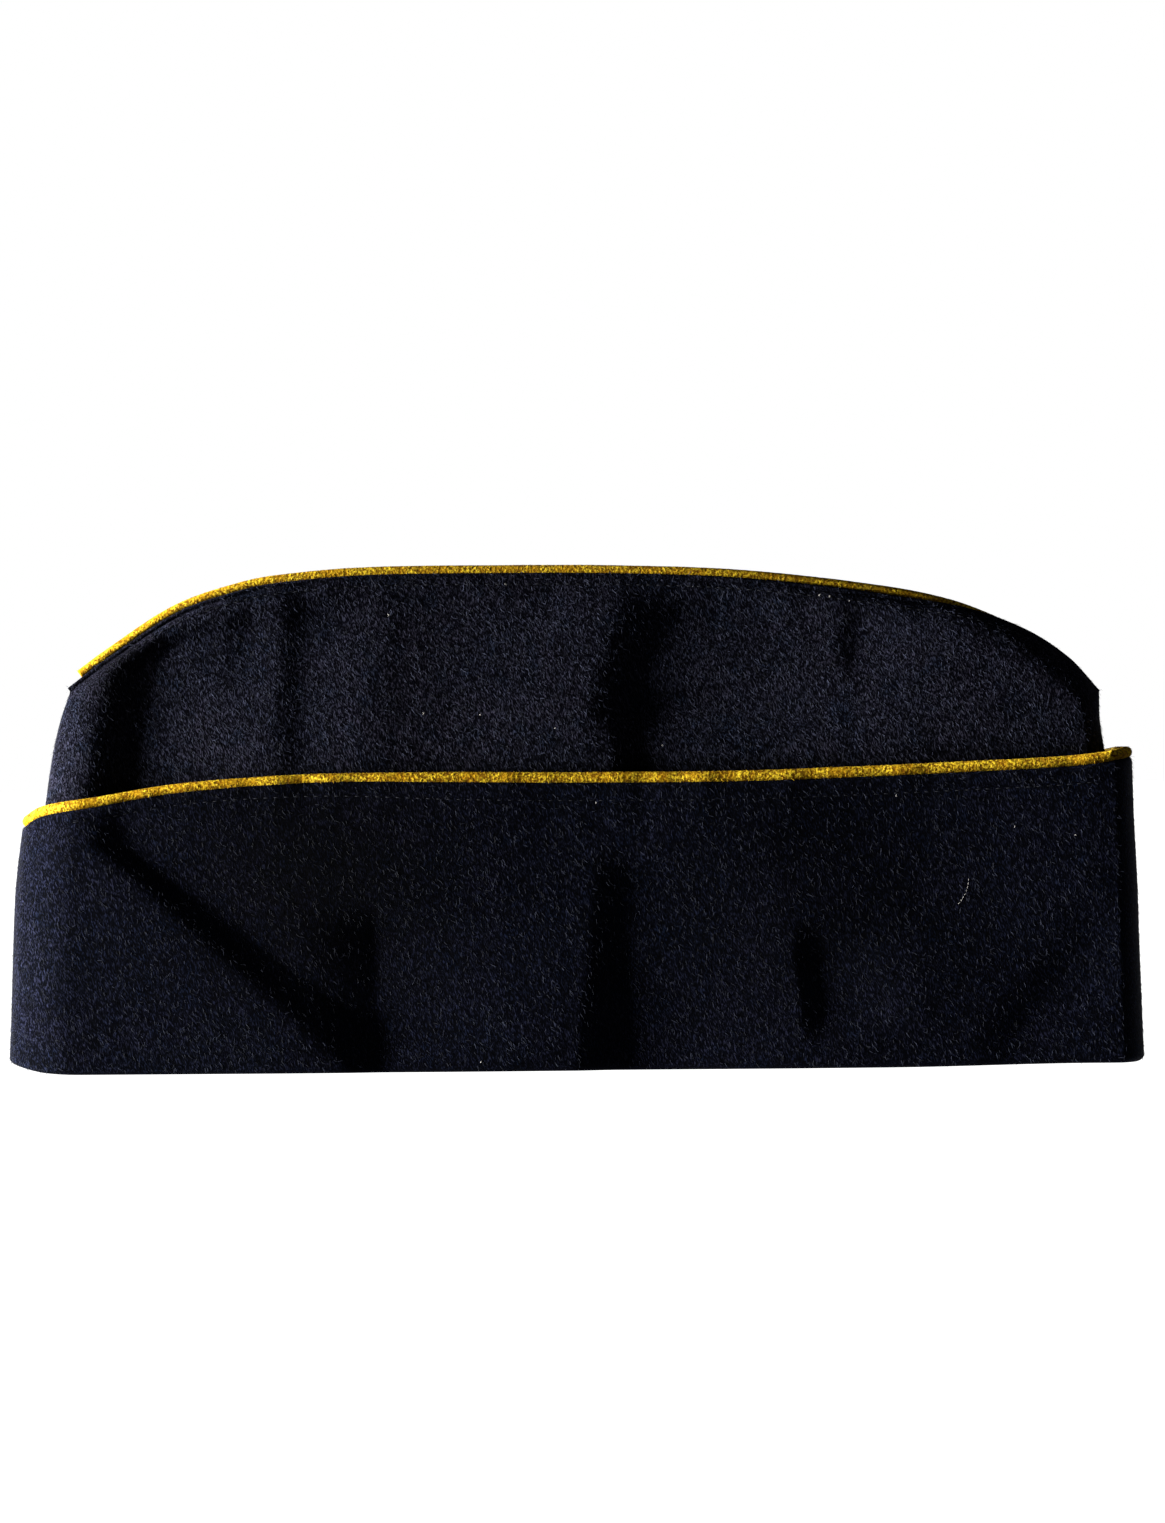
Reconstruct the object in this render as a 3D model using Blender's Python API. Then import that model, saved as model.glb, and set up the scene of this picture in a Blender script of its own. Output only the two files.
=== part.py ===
"""Garrison cap in dark navy wool with yellow piping, standing by itself on its rim.

The cap is a long narrow tent. Two crown panels are sewn together along a curved ridge and down both ends,
and a turned-up curtain of two more panels goes round the lower part, a little away from the crown. One
yellow piping is held in the ridge seam and another goes round the top edge of the curtain.

Units are metres and +Z is up. The front of the cap points to -X and the wearer's left side to -Y. The
origin is the middle of the rim, on the surface that the cap stands on.
"""

import math

import bmesh
import bpy
from mathutils import Vector

# Overall sizes
CAP_LENGTH = 0.282
CAP_HEIGHT = 0.1253
RIM_WIDTH = 0.036
CURTAIN_HEIGHT = 0.0725

# Cloth and piping
CROWN_CLOTH = 0.0020
CURTAIN_CLOTH = 0.0024
RIDGE_PIPING_RADIUS = 0.00145
CURTAIN_PIPING_RADIUS = 0.00140
GAP = 0.0003

# Ends and edges
END_LEAN = 0.0102
END_CLEARANCE = 0.0010
CURTAIN_STANDOFF = 0.0030
SEAM_HALF_WIDTH = 0.0015
SEAM_DEPTH = 0.0008
RIM_CORNER_RADIUS = 0.0018
RIDGE_LIP = 0.0012
RIDGE_LIP_ANGLE = math.radians(55)
ROLLED_LIP_ANGLE = math.radians(125)
PIPING_TUCK = 0.0035

# Shape of the body. The two roundings are shares of the length and the narrowing is a share of the width.
# The fade, the taper and the lean are powers: the higher, the nearer the front or the ridge it all happens.
FRONT_ROUNDING = 0.055
BACK_ROUNDING = 0.022
FRONT_NARROWING = 0.34
NARROWING_FADE = 5
CROWN_TAPER = 2.8
TOP_LEAN = 4

# The crown's side rounds over to its lip, and its folds run out, over these shares of its height.
RIDGE_ROUNDING = 0.12
RIDGE_RUNOUT = 0.08

# Folds
FOLD_DEPTH = 0.004
FOLD_RUNOUT = 0.012

# Fineness of the solids
FLAT_STATIONS = 34
END_STATIONS = 4
CURTAIN_ROWS = 7
UPPER_ROWS = 6
SEAT_STEPS = 3
RIM_STEPS = 2
PIPING_RESOLUTION = 2
SLOPE_STEP = 0.01
MERGE_DISTANCE = 1e-7
SHARP_ANGLE = math.radians(40)

NAVY_WOOL = (0.012, 0.013, 0.022, 1.0)
YELLOW_WOOL = (0.41, 0.28, 0.021, 1.0)
NAVY_ROUGHNESS = 0.95
YELLOW_ROUGHNESS = 0.9

LEFT = -1
RIGHT = 1

# Columns: place along the ridge (share), height of the ridge (share of CAP_HEIGHT).
RIDGE_LINE = (
    (0.000, 0.777),
    (0.038, 0.835),
    (0.109, 0.928),
    (0.168, 0.969),
    (0.204, 0.984),
    (0.287, 0.998),
    (0.404, 1.000),
    (0.540, 0.997),
    (0.655, 0.986),
    (0.779, 0.956),
    (0.860, 0.922),
    (0.924, 0.866),
    (0.971, 0.801),
    (1.000, 0.735),
)

# Columns: place along the curtain (share), height of its piping (share of CURTAIN_HEIGHT).
CURTAIN_LINE = (
    (0.000, 0.865),
    (0.016, 0.899),
    (0.068, 0.928),
    (0.141, 0.970),
    (0.250, 0.997),
    (0.360, 1.001),
    (0.500, 0.996),
    (0.645, 0.996),
    (0.754, 1.007),
    (0.863, 1.022),
    (0.935, 1.034),
    (0.971, 1.047),
    (1.000, 1.065),
)

# Columns: height (share of the crown), lean of the front edge and of the back edge (shares of END_LEAN).
END_EDGES = (
    (0.00, 0.00, 0.00),
    (0.45, 0.24, 0.19),
    (0.67, 0.52, 0.40),
    (0.83, 0.70, 0.55),
    (0.92, 0.85, 0.67),
    (1.00, 1.06, 0.69),
)

# Columns: height (share of the curtain), gap to the crown at the front, side and back (CURTAIN_STANDOFF).
STANDOFF = (
    (0.0, 0.00, 0.20, 0.00),
    (0.5, 0.15, 0.30, 0.20),
    (1.0, 0.50, 1.00, 1.05),
)

# Each fold is a valley, or a crest, with one wall towards the front and one towards the back.
# Columns: side, top and foot of the valley (shares of CAP_LENGTH and CAP_HEIGHT), width of the front and
# back wall at the top, the same at the foot (shares of CAP_LENGTH), depth at the top and foot (shares of
# FOLD_DEPTH, less than 0 for a crest), crispness of the valley's floor (0 soft to 1 sharp).
CURTAIN_FOLDS = (
    (LEFT, (-0.424, 0.455), (-0.203, 0.000), (0.090, 0.032), (0.200, 0.040), (-0.22, -0.17), 0.0),
    (LEFT, (-0.400, 0.455), (-0.180, 0.087), (0.038, 0.250), (0.062, 0.160), (0.22, 0.34), 0.8),
    (LEFT, (-0.176, 0.260), (-0.174, 0.000), (0.072, 0.300), (0.036, 0.110), (0.54, 0.26), 0.8),
    (LEFT, (0.048, 0.360), (0.034, 0.000), (0.036, 0.200), (0.038, 0.200), (0.28, 0.64), 0.3),
    (LEFT, (0.212, 0.215), (0.216, 0.120), (0.024, 0.090), (0.022, 0.090), (0.30, 0.28), 0.2),
    (LEFT, (0.300, 0.520), (0.310, 0.280), (0.150, 0.150), (0.150, 0.150), (0.20, 0.20), 0.0),
    (LEFT, (0.450, 0.260), (0.385, 0.060), (0.040, 0.080), (0.040, 0.080), (0.10, 0.16), 0.2),
    (RIGHT, (-0.430, 0.460), (-0.230, 0.000), (0.090, 0.030), (0.190, 0.040), (-0.20, -0.34), 0.0),
    (RIGHT, (0.150, 0.340), (0.135, 0.000), (0.032, 0.090), (0.034, 0.110), (0.14, 0.40), 0.3),
)
CROWN_FOLDS = (
    (LEFT, (-0.360, 0.840), (-0.398, 0.480), (0.062, 0.200), (0.050, 0.200), (0.54, 0.84), 0.2),
    (LEFT, (-0.372, 0.900), (-0.400, 0.700), (0.060, 0.050), (0.050, 0.050), (0.12, 0.06), 0.0),
    (LEFT, (-0.232, 0.930), (-0.237, 0.640), (0.030, 0.070), (0.030, 0.070), (0.17, 0.17), 0.0),
    (LEFT, (-0.283, 0.930), (-0.290, 0.800), (0.024, 0.040), (0.024, 0.040), (0.09, 0.06), 0.2),
    (LEFT, (-0.105, 0.930), (-0.115, 0.560), (0.180, 0.140), (0.180, 0.140), (0.22, 0.22), 0.0),
    (LEFT, (0.108, 0.930), (0.056, 0.730), (0.074, 0.380), (0.048, 0.340), (0.50, 0.44), 0.0),
    (LEFT, (0.056, 0.700), (0.060, 0.560), (0.028, 0.300), (0.028, 0.300), (0.32, 0.40), 0.2),
    (LEFT, (0.254, 0.920), (0.252, 0.830), (0.024, 0.060), (0.024, 0.060), (0.16, 0.14), 0.2),
    (RIGHT, (-0.200, 0.860), (-0.220, 0.560), (0.045, 0.090), (0.050, 0.100), (0.30, 0.40), 0.2),
    (RIGHT, (0.240, 0.840), (0.225, 0.560), (0.040, 0.090), (0.050, 0.100), (0.25, 0.35), 0.2),
)
# The left crown panel rolls over the ridge piping between these two places along the ridge (shares).
ROLL_START = 0.80
ROLL_END = 0.96

# What follows from the sizes above
CROWN_BOTTOM = CURTAIN_CLOTH + GAP
CROWN_HALF_LENGTH = CAP_LENGTH / 2 - CURTAIN_CLOTH - END_CLEARANCE
SEAT_RADIUS = RIDGE_PIPING_RADIUS + GAP
LIP_RADIUS = SEAT_RADIUS + RIDGE_LIP
SEAT_FOOT_ANGLE = math.asin(GAP / 2 / SEAT_RADIUS)
SIDE_CLEARANCE = STANDOFF[0][2] * CURTAIN_STANDOFF
BODY_HALF_WIDTH = RIM_WIDTH / 2 - GAP / 2 - CURTAIN_CLOTH - SIDE_CLEARANCE


def clear_scene():
    for thing in list(bpy.data.objects):
        bpy.data.objects.remove(thing, do_unlink=True)


def make_material(name, colour, roughness):
    material = bpy.data.materials.new(name)
    material.use_nodes = True
    shader = material.node_tree.nodes["Principled BSDF"]
    shader.inputs["Base Color"].default_value = colour
    shader.inputs["Roughness"].default_value = roughness
    shader.inputs["Metallic"].default_value = 0.0
    material.diffuse_color = colour
    return material


def smooth_step(value):
    """0 below 0, 1 above 1 and a soft S between."""
    value = min(max(value, 0.0), 1.0)
    return value * value * (3 - 2 * value)


def read_table(rows, column, place):
    """A column of a table at any place along its first column, on one smooth curve through the rows."""
    place = min(max(place, rows[0][0]), rows[-1][0])
    index = 0
    while index < len(rows) - 2 and place > rows[index + 1][0]:
        index += 1

    def slope(row):
        before = rows[max(row - 1, 0)]
        after = rows[min(row + 1, len(rows) - 1)]
        return (after[column] - before[column]) / (after[0] - before[0])

    step = rows[index + 1][0] - rows[index][0]
    t = (place - rows[index][0]) / step
    start, end = rows[index][column], rows[index + 1][column]
    return (
        (1 + 2 * t) * (1 - t) ** 2 * start
        + t * t * (3 - 2 * t) * end
        + t * (1 - t) ** 2 * step * slope(index)
        - t * t * (1 - t) * step * slope(index + 1)
    )


def station_shares():
    """Places along the cap from 0 at the front to 1 at the back, close together in the rounded ends."""
    turns = [1 - math.cos(math.pi / 2 * step / END_STATIONS) for step in range(END_STATIONS + 1)]
    flat = 1 - FRONT_ROUNDING - BACK_ROUNDING
    front = [FRONT_ROUNDING * turn for turn in turns[:-1]]
    middle = [FRONT_ROUNDING + flat * step / FLAT_STATIONS for step in range(FLAT_STATIONS)]
    back = [1 - BACK_ROUNDING * turn for turn in reversed(turns)]
    return front + middle + back


def quarter_round(share):
    """Rises from 0 at 0 to 1 at 1 like a quarter of a circle, and stays 1 after that."""
    share = min(max(share, 0.0), 1.0)
    return math.sqrt(1 - (1 - share) ** 2)


def bulge(share):
    """How full the sides are at a place along the cap: nearly flat, narrower in front, round at the ends."""
    rounded = quarter_round(share / FRONT_ROUNDING) * quarter_round((1 - share) / BACK_ROUNDING)
    return rounded * (1 - FRONT_NARROWING * (1 - share) ** NARROWING_FADE)


def fold_depth(x, z, side, folds):
    """How far the cloth is pushed in at a point of one side of the cap, by all folds of a table."""
    depth = 0.0
    for fold_side, top, foot, top_walls, foot_walls, depths, crispness in folds:
        if fold_side != side:
            continue
        top_x, top_z = top[0] * CAP_LENGTH, top[1] * CAP_HEIGHT
        foot_x, foot_z = foot[0] * CAP_LENGTH, foot[1] * CAP_HEIGHT
        down = (top_z - z) / (top_z - foot_z)
        along = min(max(down, 0.0), 1.0)
        across = x - (top_x + (foot_x - top_x) * along)
        wall = 0 if across < 0 else 1
        width = CAP_LENGTH * (top_walls[wall] + (foot_walls[wall] - top_walls[wall]) * along)
        nearness = max(0.0, 1 - abs(across) / width)
        fade = smooth_step(1 + min(down, 0.0) * (top_z - foot_z) / FOLD_RUNOUT)
        fade *= smooth_step(1 - max(down - 1, 0.0) * (top_z - foot_z) / FOLD_RUNOUT)
        profile = crispness * nearness**2 + (1 - crispness) * smooth_step(nearness)
        depth += FOLD_DEPTH * (depths[0] + (depths[1] - depths[0]) * along) * profile * fade
    return depth


def crown_ends(height_share):
    """X of the crown's front and back edge at a share of its height."""
    front = -CROWN_HALF_LENGTH + END_LEAN * read_table(END_EDGES, 1, height_share)
    back = CROWN_HALF_LENGTH - END_LEAN * read_table(END_EDGES, 2, height_share)
    return front, back


def ridge_point(share):
    """Point on the outermost line of the ridge, as X and Z."""
    front, back = crown_ends(1.0)
    return front + (back - front) * share, CAP_HEIGHT * read_table(RIDGE_LINE, 1, share)


def ridge_frame(share):
    """Centre of the ridge piping and the direction that points straight out of the ridge there."""
    x, z = ridge_point(share)
    before = ridge_point(max(share - SLOPE_STEP, 0.0))
    after = ridge_point(min(share + SLOPE_STEP, 1.0))
    along = Vector((after[0] - before[0], 0, after[1] - before[1])).normalized()
    out = Vector((-along.z, 0, along.x))
    return Vector((x, 0, z)) - out * RIDGE_PIPING_RADIUS, out


def lip_angle(share, side):
    """How far the crown's top edge reaches round the piping. The left one rolls over it at the back."""
    if side == RIGHT:
        return RIDGE_LIP_ANGLE
    roll = smooth_step((share - ROLL_START) / (ROLL_END - ROLL_START))
    return RIDGE_LIP_ANGLE + (ROLLED_LIP_ANGLE - RIDGE_LIP_ANGLE) * roll


def around_piping(share, side, radius, angle):
    """Point at a distance from the piping's centre, at an angle counted from its underside."""
    centre, out = ridge_frame(share)
    return centre - out * radius * math.cos(angle) + Vector((0, side * radius * math.sin(angle), 0))


def body_point(share, height_share, side, top, outset, blunt, folds):
    """Point on the cap's body.

    outset moves it out of the crown's outer face at the front, side and back. blunt is half the width
    that it keeps at the end seams. top is the point that the surface reaches at height_share 1.
    """
    front, back = crown_ends(height_share)
    outset_front, outset_side, outset_back = outset
    front -= outset_front
    back += outset_back
    ridge_x = ridge_point(share)[0]
    x = front + (back - front) * share + (top.x - ridge_x) * height_share**TOP_LEAN
    z = top.z * height_share
    fullness = 1 - min(z / CAP_HEIGHT, 1.0) ** CROWN_TAPER
    fullness *= quarter_round((1 - height_share) / RIDGE_ROUNDING)
    width = (BODY_HALF_WIDTH - SEAM_HALF_WIDTH) * fullness + SEAM_HALF_WIDTH + outset_side
    y = blunt + bulge(share) * max(0.0, width - blunt)
    runout = smooth_step(min(x - front, back - x) / FOLD_RUNOUT)
    runout *= smooth_step((1 - height_share) / RIDGE_RUNOUT)
    y = max(y - runout * sum(fold_depth(x, z, side, table) for table in folds), 0.0)
    return Vector((x, side * (GAP / 2 + y), z))


def crown_outer_point(share, height_share, side):
    angle = lip_angle(share, side)
    top = around_piping(share, side, LIP_RADIUS, angle)
    lip = LIP_RADIUS * math.sin(angle) - GAP / 2 - SEAM_HALF_WIDTH
    blunt = SEAM_HALF_WIDTH + lip * smooth_step((height_share - 1 + RIDGE_ROUNDING) / RIDGE_ROUNDING)
    outset = (0.0, blunt - SEAM_HALF_WIDTH, 0.0)
    folds = (CROWN_FOLDS, CURTAIN_FOLDS)
    return body_point(share, height_share, side, top, outset, blunt, folds)


def crown_inner_point(share, height_share, side):
    top = around_piping(share, side, SEAT_RADIUS, SEAT_FOOT_ANGLE)
    inset = SEAM_DEPTH if share in (0.0, 1.0) else CROWN_CLOTH
    outset = (-inset, -CROWN_CLOTH, -inset)
    folds = (CROWN_FOLDS, CURTAIN_FOLDS)
    return body_point(share, height_share, side, top, outset, 0.0, folds)


def curtain_line(share):
    """Height of the curtain piping's centre."""
    return CURTAIN_HEIGHT * read_table(CURTAIN_LINE, 1, share)


def curtain_rows(share, lowest):
    """Heights from the lowest one to the curtain's top edge, which the piping rests on."""
    before = max(share - SLOPE_STEP / 2, 0.0)
    after = min(share + SLOPE_STEP / 2, 1.0)
    rise = curtain_line(after) - curtain_line(before)
    run = CAP_LENGTH * (after - before)
    drop = (CURTAIN_PIPING_RADIUS + GAP) * math.hypot(1.0, rise / run)
    top = curtain_line(share) - drop
    return [lowest + (top - lowest) * row / CURTAIN_ROWS for row in range(CURTAIN_ROWS + 1)]


def crown_rows(share, top_z):
    """Shares of the crown's height: the curtain's rows first, then more up to the ridge."""
    rows = [z / top_z for z in curtain_rows(share, CROWN_BOTTOM)]
    covered = rows[-1]
    for row in range(1, UPPER_ROWS + 1):
        rows.append(covered + (1 - covered) * row / UPPER_ROWS)
    return rows


def crown_section(share, side):
    """Closed outline of a crown panel at one place along the cap: outer face, piping seat, inner face."""
    start = lip_angle(share, side)
    lip = around_piping(share, side, LIP_RADIUS, start)
    seat_foot = around_piping(share, side, SEAT_RADIUS, SEAT_FOOT_ANGLE)
    outline = [crown_outer_point(share, row, side) for row in crown_rows(share, lip.z)]
    for step in range(SEAT_STEPS):
        angle = start + (SEAT_FOOT_ANGLE - start) * step / SEAT_STEPS
        outline.append(around_piping(share, side, SEAT_RADIUS, angle))
    outline += [crown_inner_point(share, row, side) for row in reversed(crown_rows(share, seat_foot.z))]
    return outline


def curtain_standoff(height_share):
    front = END_CLEARANCE + CURTAIN_STANDOFF * read_table(STANDOFF, 1, height_share)
    side = CURTAIN_STANDOFF * read_table(STANDOFF, 2, height_share)
    back = END_CLEARANCE + CURTAIN_STANDOFF * read_table(STANDOFF, 3, height_share)
    return front, side, back


def curtain_point(share, z, side, depth, blunt, at_end=None):
    """Point of the curtain at a height and at a depth behind its outer face.

    at_end is the depth in place of it at the end seams.
    """
    if at_end is not None and share in (0.0, 1.0):
        depth = at_end
    outset = tuple(gap + CURTAIN_CLOTH - depth for gap in curtain_standoff(z / curtain_line(share)))
    top = around_piping(share, side, LIP_RADIUS, lip_angle(share, side))
    point = body_point(share, z / top.z, side, top, outset, blunt, (CURTAIN_FOLDS,))
    return Vector((point.x, point.y, z))


def curtain_section(share, side):
    """Closed outline of a curtain panel: outer face, rounded rim, lip under the crown, inner face."""
    outline = []
    for z in reversed(curtain_rows(share, RIM_CORNER_RADIUS)):
        outline.append(curtain_point(share, z, side, 0.0, SEAM_HALF_WIDTH))
    for step in range(1, RIM_STEPS + 1):
        angle = math.pi / 2 * step / RIM_STEPS
        depth = RIM_CORNER_RADIUS * (1 - math.cos(angle))
        z = RIM_CORNER_RADIUS * (1 - math.sin(angle))
        outline.append(curtain_point(share, z, side, depth, SEAM_HALF_WIDTH))
    under_crown = CURTAIN_CLOTH + END_CLEARANCE + CROWN_CLOTH
    for z in (0.0, CURTAIN_CLOTH):
        outline.append(curtain_point(share, z, side, under_crown, 0.0))
    blunt = 0.0 if share in (0.0, 1.0) else SEAM_HALF_WIDTH
    for z in curtain_rows(share, CURTAIN_CLOTH):
        outline.append(curtain_point(share, z, side, CURTAIN_CLOTH, blunt, at_end=SEAM_DEPTH))
    return outline


def loft(name, sections, material, collection):
    """A closed solid through sections that all have the same number of points."""
    stations = len(sections)
    points = len(sections[0])
    bm = bmesh.new()
    bmesh.ops.create_grid(bm, x_segments=stations - 1, y_segments=points, size=0.5)
    for vert in bm.verts:
        station = round((vert.co.x + 0.5) * (stations - 1))
        point = round((vert.co.y + 0.5) * points) % points
        vert.co = sections[station][point]
    bmesh.ops.remove_doubles(bm, verts=bm.verts, dist=MERGE_DISTANCE)
    bmesh.ops.holes_fill(bm, edges=[edge for edge in bm.edges if edge.is_boundary], sides=0)
    bmesh.ops.recalc_face_normals(bm, faces=bm.faces)
    mesh = bpy.data.meshes.new(name)
    bm.to_mesh(mesh)
    bm.free()
    mesh.materials.append(material)
    mesh.shade_smooth()
    mesh.set_sharp_from_angle(angle=SHARP_ANGLE)
    solid = bpy.data.objects.new(name, mesh)
    collection.objects.link(solid)
    return solid


def make_piping(name, route, radius, closed, material, collection):
    """A round cord along a route of points."""
    curve = bpy.data.curves.new(name, "CURVE")
    curve.dimensions = "3D"
    curve.bevel_depth = radius
    curve.bevel_resolution = PIPING_RESOLUTION
    curve.use_fill_caps = True
    spline = curve.splines.new("POLY")
    spline.points.add(len(route) - 1)
    for spline_point, place in zip(spline.points, route):
        spline_point.co = (*place, 1.0)
    spline.use_cyclic_u = closed
    curve.materials.append(material)
    piping = bpy.data.objects.new(name, curve)
    collection.objects.link(piping)
    return piping


def ridge_piping_route():
    front, back = crown_ends(1.0)
    tuck = PIPING_TUCK / (back - front)
    route = []
    for share in station_shares():
        route.append(ridge_frame(tuck + (1 - 2 * tuck) * share)[0])
    return route


def curtain_piping_route():
    """Along the left top edge from front to back and along the right one from back to front."""
    sides = {LEFT: [], RIGHT: []}
    for side in (LEFT, RIGHT):
        for share in station_shares():
            blunt = SEAM_HALF_WIDTH / 2 if share in (0.0, 1.0) else SEAM_HALF_WIDTH
            middle = CURTAIN_CLOTH / 2
            point = curtain_point(share, curtain_line(share), side, middle, blunt, at_end=SEAM_DEPTH / 2)
            sides[side].append(point)
    return sides[LEFT] + sides[RIGHT][::-1]


def make_crown_panel(name, side, material, collection):
    sections = [crown_section(share, side) for share in station_shares()]
    return loft(name, sections, material, collection)


def make_curtain_panel(name, side, material, collection):
    sections = [curtain_section(share, side) for share in station_shares()]
    return loft(name, sections, material, collection)


def main():
    clear_scene()
    collection = bpy.data.collections.new("garrison_cap")
    bpy.context.scene.collection.children.link(collection)
    navy = make_material("navy_melton_wool", NAVY_WOOL, NAVY_ROUGHNESS)
    yellow = make_material("yellow_wool_piping", YELLOW_WOOL, YELLOW_ROUGHNESS)
    make_crown_panel("crown_left", LEFT, navy, collection)
    make_crown_panel("crown_right", RIGHT, navy, collection)
    make_curtain_panel("curtain_left", LEFT, navy, collection)
    make_curtain_panel("curtain_right", RIGHT, navy, collection)
    make_piping("ridge_piping", ridge_piping_route(), RIDGE_PIPING_RADIUS, False, yellow, collection)
    make_piping("curtain_piping", curtain_piping_route(), CURTAIN_PIPING_RADIUS, True, yellow, collection)


main()
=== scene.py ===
# %% [markdown]
# This notebook dresses a garrison cap: dark navy wool, yellow piping, standing by itself on its rim.
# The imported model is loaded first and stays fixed. It has the right sizes but plain surfaces, so each
# of its six pieces gets a finer twin here that sits in the same place and hides the plain one.
# Units are metres, +Z is up, the front of the cap points to -X and the wearer's left side to -Y.

import math
import random
from functools import cache

import bmesh
import bpy
from mathutils import Euler, Matrix, Vector, noise
from mathutils.bvhtree import BVHTree


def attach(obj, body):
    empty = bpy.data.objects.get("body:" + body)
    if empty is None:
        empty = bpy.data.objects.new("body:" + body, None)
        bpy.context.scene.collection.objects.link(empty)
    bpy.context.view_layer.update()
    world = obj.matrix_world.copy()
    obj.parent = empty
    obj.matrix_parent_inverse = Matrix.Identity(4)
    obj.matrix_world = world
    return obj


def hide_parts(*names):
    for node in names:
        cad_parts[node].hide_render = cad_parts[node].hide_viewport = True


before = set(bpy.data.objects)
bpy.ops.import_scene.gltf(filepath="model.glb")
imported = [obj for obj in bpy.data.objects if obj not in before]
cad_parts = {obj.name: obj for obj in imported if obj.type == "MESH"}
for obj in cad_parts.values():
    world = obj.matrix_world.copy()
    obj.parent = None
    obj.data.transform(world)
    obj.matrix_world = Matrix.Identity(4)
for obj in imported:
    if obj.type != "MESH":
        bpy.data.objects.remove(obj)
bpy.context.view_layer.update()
MM = 0.001
print("nodes of the frame:", sorted(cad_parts))

# %% [markdown]
# The camera comes before any modelling. The cap was seen square on to its side and a little tilted, so
# the lens is long and stands level with the cap's middle, and a small roll about the line of sight tilts
# the picture. A long lens far away keeps the far rim from showing under the near one.

# %% Camera
CAMERA_DISTANCE = 1.7
FRAME_HEIGHT = 0.379
AIM = Vector((0.0022, 0.0, 0.0762))
ROLL = math.radians(0.58)
SENSOR = 36.0

camera_data = bpy.data.cameras.new("camera")
camera_data.sensor_width = SENSOR
camera_data.lens = SENSOR * CAMERA_DISTANCE / FRAME_HEIGHT
camera_data.clip_end = 20.0
camera = bpy.data.objects.new("camera", camera_data)
level = Euler((math.pi / 2, 0, 0)).to_matrix()
camera.matrix_world = Matrix.Translation(AIM - Vector((0, CAMERA_DISTANCE, 0))) @ (
    level @ Matrix.Rotation(-ROLL, 3, "Z")
).to_4x4()
bpy.context.scene.collection.objects.link(camera)
bpy.context.scene.camera = camera
print("lens in mm:", round(camera_data.lens, 1))

# %% [markdown]
# One small function adds a node with its settings and its inputs, so that a material reads as a list of
# steps. Blender mixes light in linear numbers, but colours are picked from a screen in sRGB, so one more
# function turns a hex colour into linear numbers.

# %% Helpers for materials
def linear(hex_colour):
    """Linear RGBA of a colour written as sRGB hex."""
    channels = []
    for start in (1, 3, 5):
        value = int(hex_colour[start : start + 2], 16) / 255
        channels.append(value / 12.92 if value <= 0.04045 else ((value + 0.055) / 1.055) ** 2.4)
    return (*channels, 1.0)


def socket(sockets, name):
    """A socket by its identifier, or else by its name. The Mix node has several that share a name."""
    for candidate in sockets:
        if candidate.identifier == name:
            return candidate
    return sockets[name]


def add_node(tree, kind, settings, inputs):
    """A new node. An input is linked where it is given as a socket, and otherwise set to its value."""
    node = tree.nodes.new(kind)
    for name, value in settings.items():
        setattr(node, name, value)
    for name, value in inputs.items():
        end = socket(node.inputs, name)
        if isinstance(value, bpy.types.NodeSocket):
            tree.links.new(value, end)
        else:
            end.default_value = linear(value) if isinstance(value, str) else value
    return node


def start_material(name, roughness, specular):
    """A new material, its Principled shader and the place on the object that patterns read."""
    material = bpy.data.materials.new(name)
    material.use_nodes = True
    tree = material.node_tree
    shader = tree.nodes["Principled BSDF"]
    shader.inputs["Roughness"].default_value = roughness
    shader.inputs["Specular IOR Level"].default_value = specular
    place = add_node(tree, "ShaderNodeTexCoord", {}, {}).outputs["Object"]
    return material, tree, shader, place


print("a mid grey in linear numbers:", [round(value, 3) for value in linear("#808080")])

# %% [markdown]
# The backdrop is plain white studio paper. The paper would throw much light up into dark wool, so it is
# left out of the diffuse rays: the folds then stay as deep as they are in the photograph.

# %% Floor
FLOOR_SIZE = 60.0
PAPER_CLOUD = 25 * MM

paper, tree, shader, place = start_material("matt_white_paper", 1.0, 0.0)
inputs = {"Vector": place, "Scale": 1 / PAPER_CLOUD, "Detail": 3.0}
fibre_clouds = add_node(tree, "ShaderNodeTexNoise", {}, inputs).outputs["Fac"]
inputs = {"Factor_Float": fibre_clouds, "A_Color": "#F4F4F4", "B_Color": "#F8F8F8"}
paper_tone = add_node(tree, "ShaderNodeMix", {"data_type": "RGBA"}, inputs)
tree.links.new(socket(paper_tone.outputs, "Result_Color"), shader.inputs["Base Color"])

bm = bmesh.new()
bmesh.ops.create_grid(bm, x_segments=1, y_segments=1, size=FLOOR_SIZE / 2)
floor_mesh = bpy.data.meshes.new("floor")
bm.to_mesh(floor_mesh)
bm.free()
floor_mesh.materials.append(paper)
floor = bpy.data.objects.new("floor", floor_mesh)
floor.visible_diffuse = False
floor.visible_shadow = False
bpy.context.scene.collection.objects.link(floor)
print("floor:", FLOOR_SIZE, "m square")

# %% [markdown]
# The photograph's light comes from the left and skims along the side of the cap. That is why each fold
# shows as a black slope and a lit one, while the cord of the piping is bright in its middle. A sun lamp
# with a wide disc does this evenly. Light linking then gives every surface the lamp it needs: the low
# lamps light only the cap and are blocked only by it, and a high lamp does the same for the paper, which
# stays clean and white up to the cap's edge, as it is in the photograph. The world is white where the
# camera sees it and dim for everything else, so that the folds stay deep.

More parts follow.
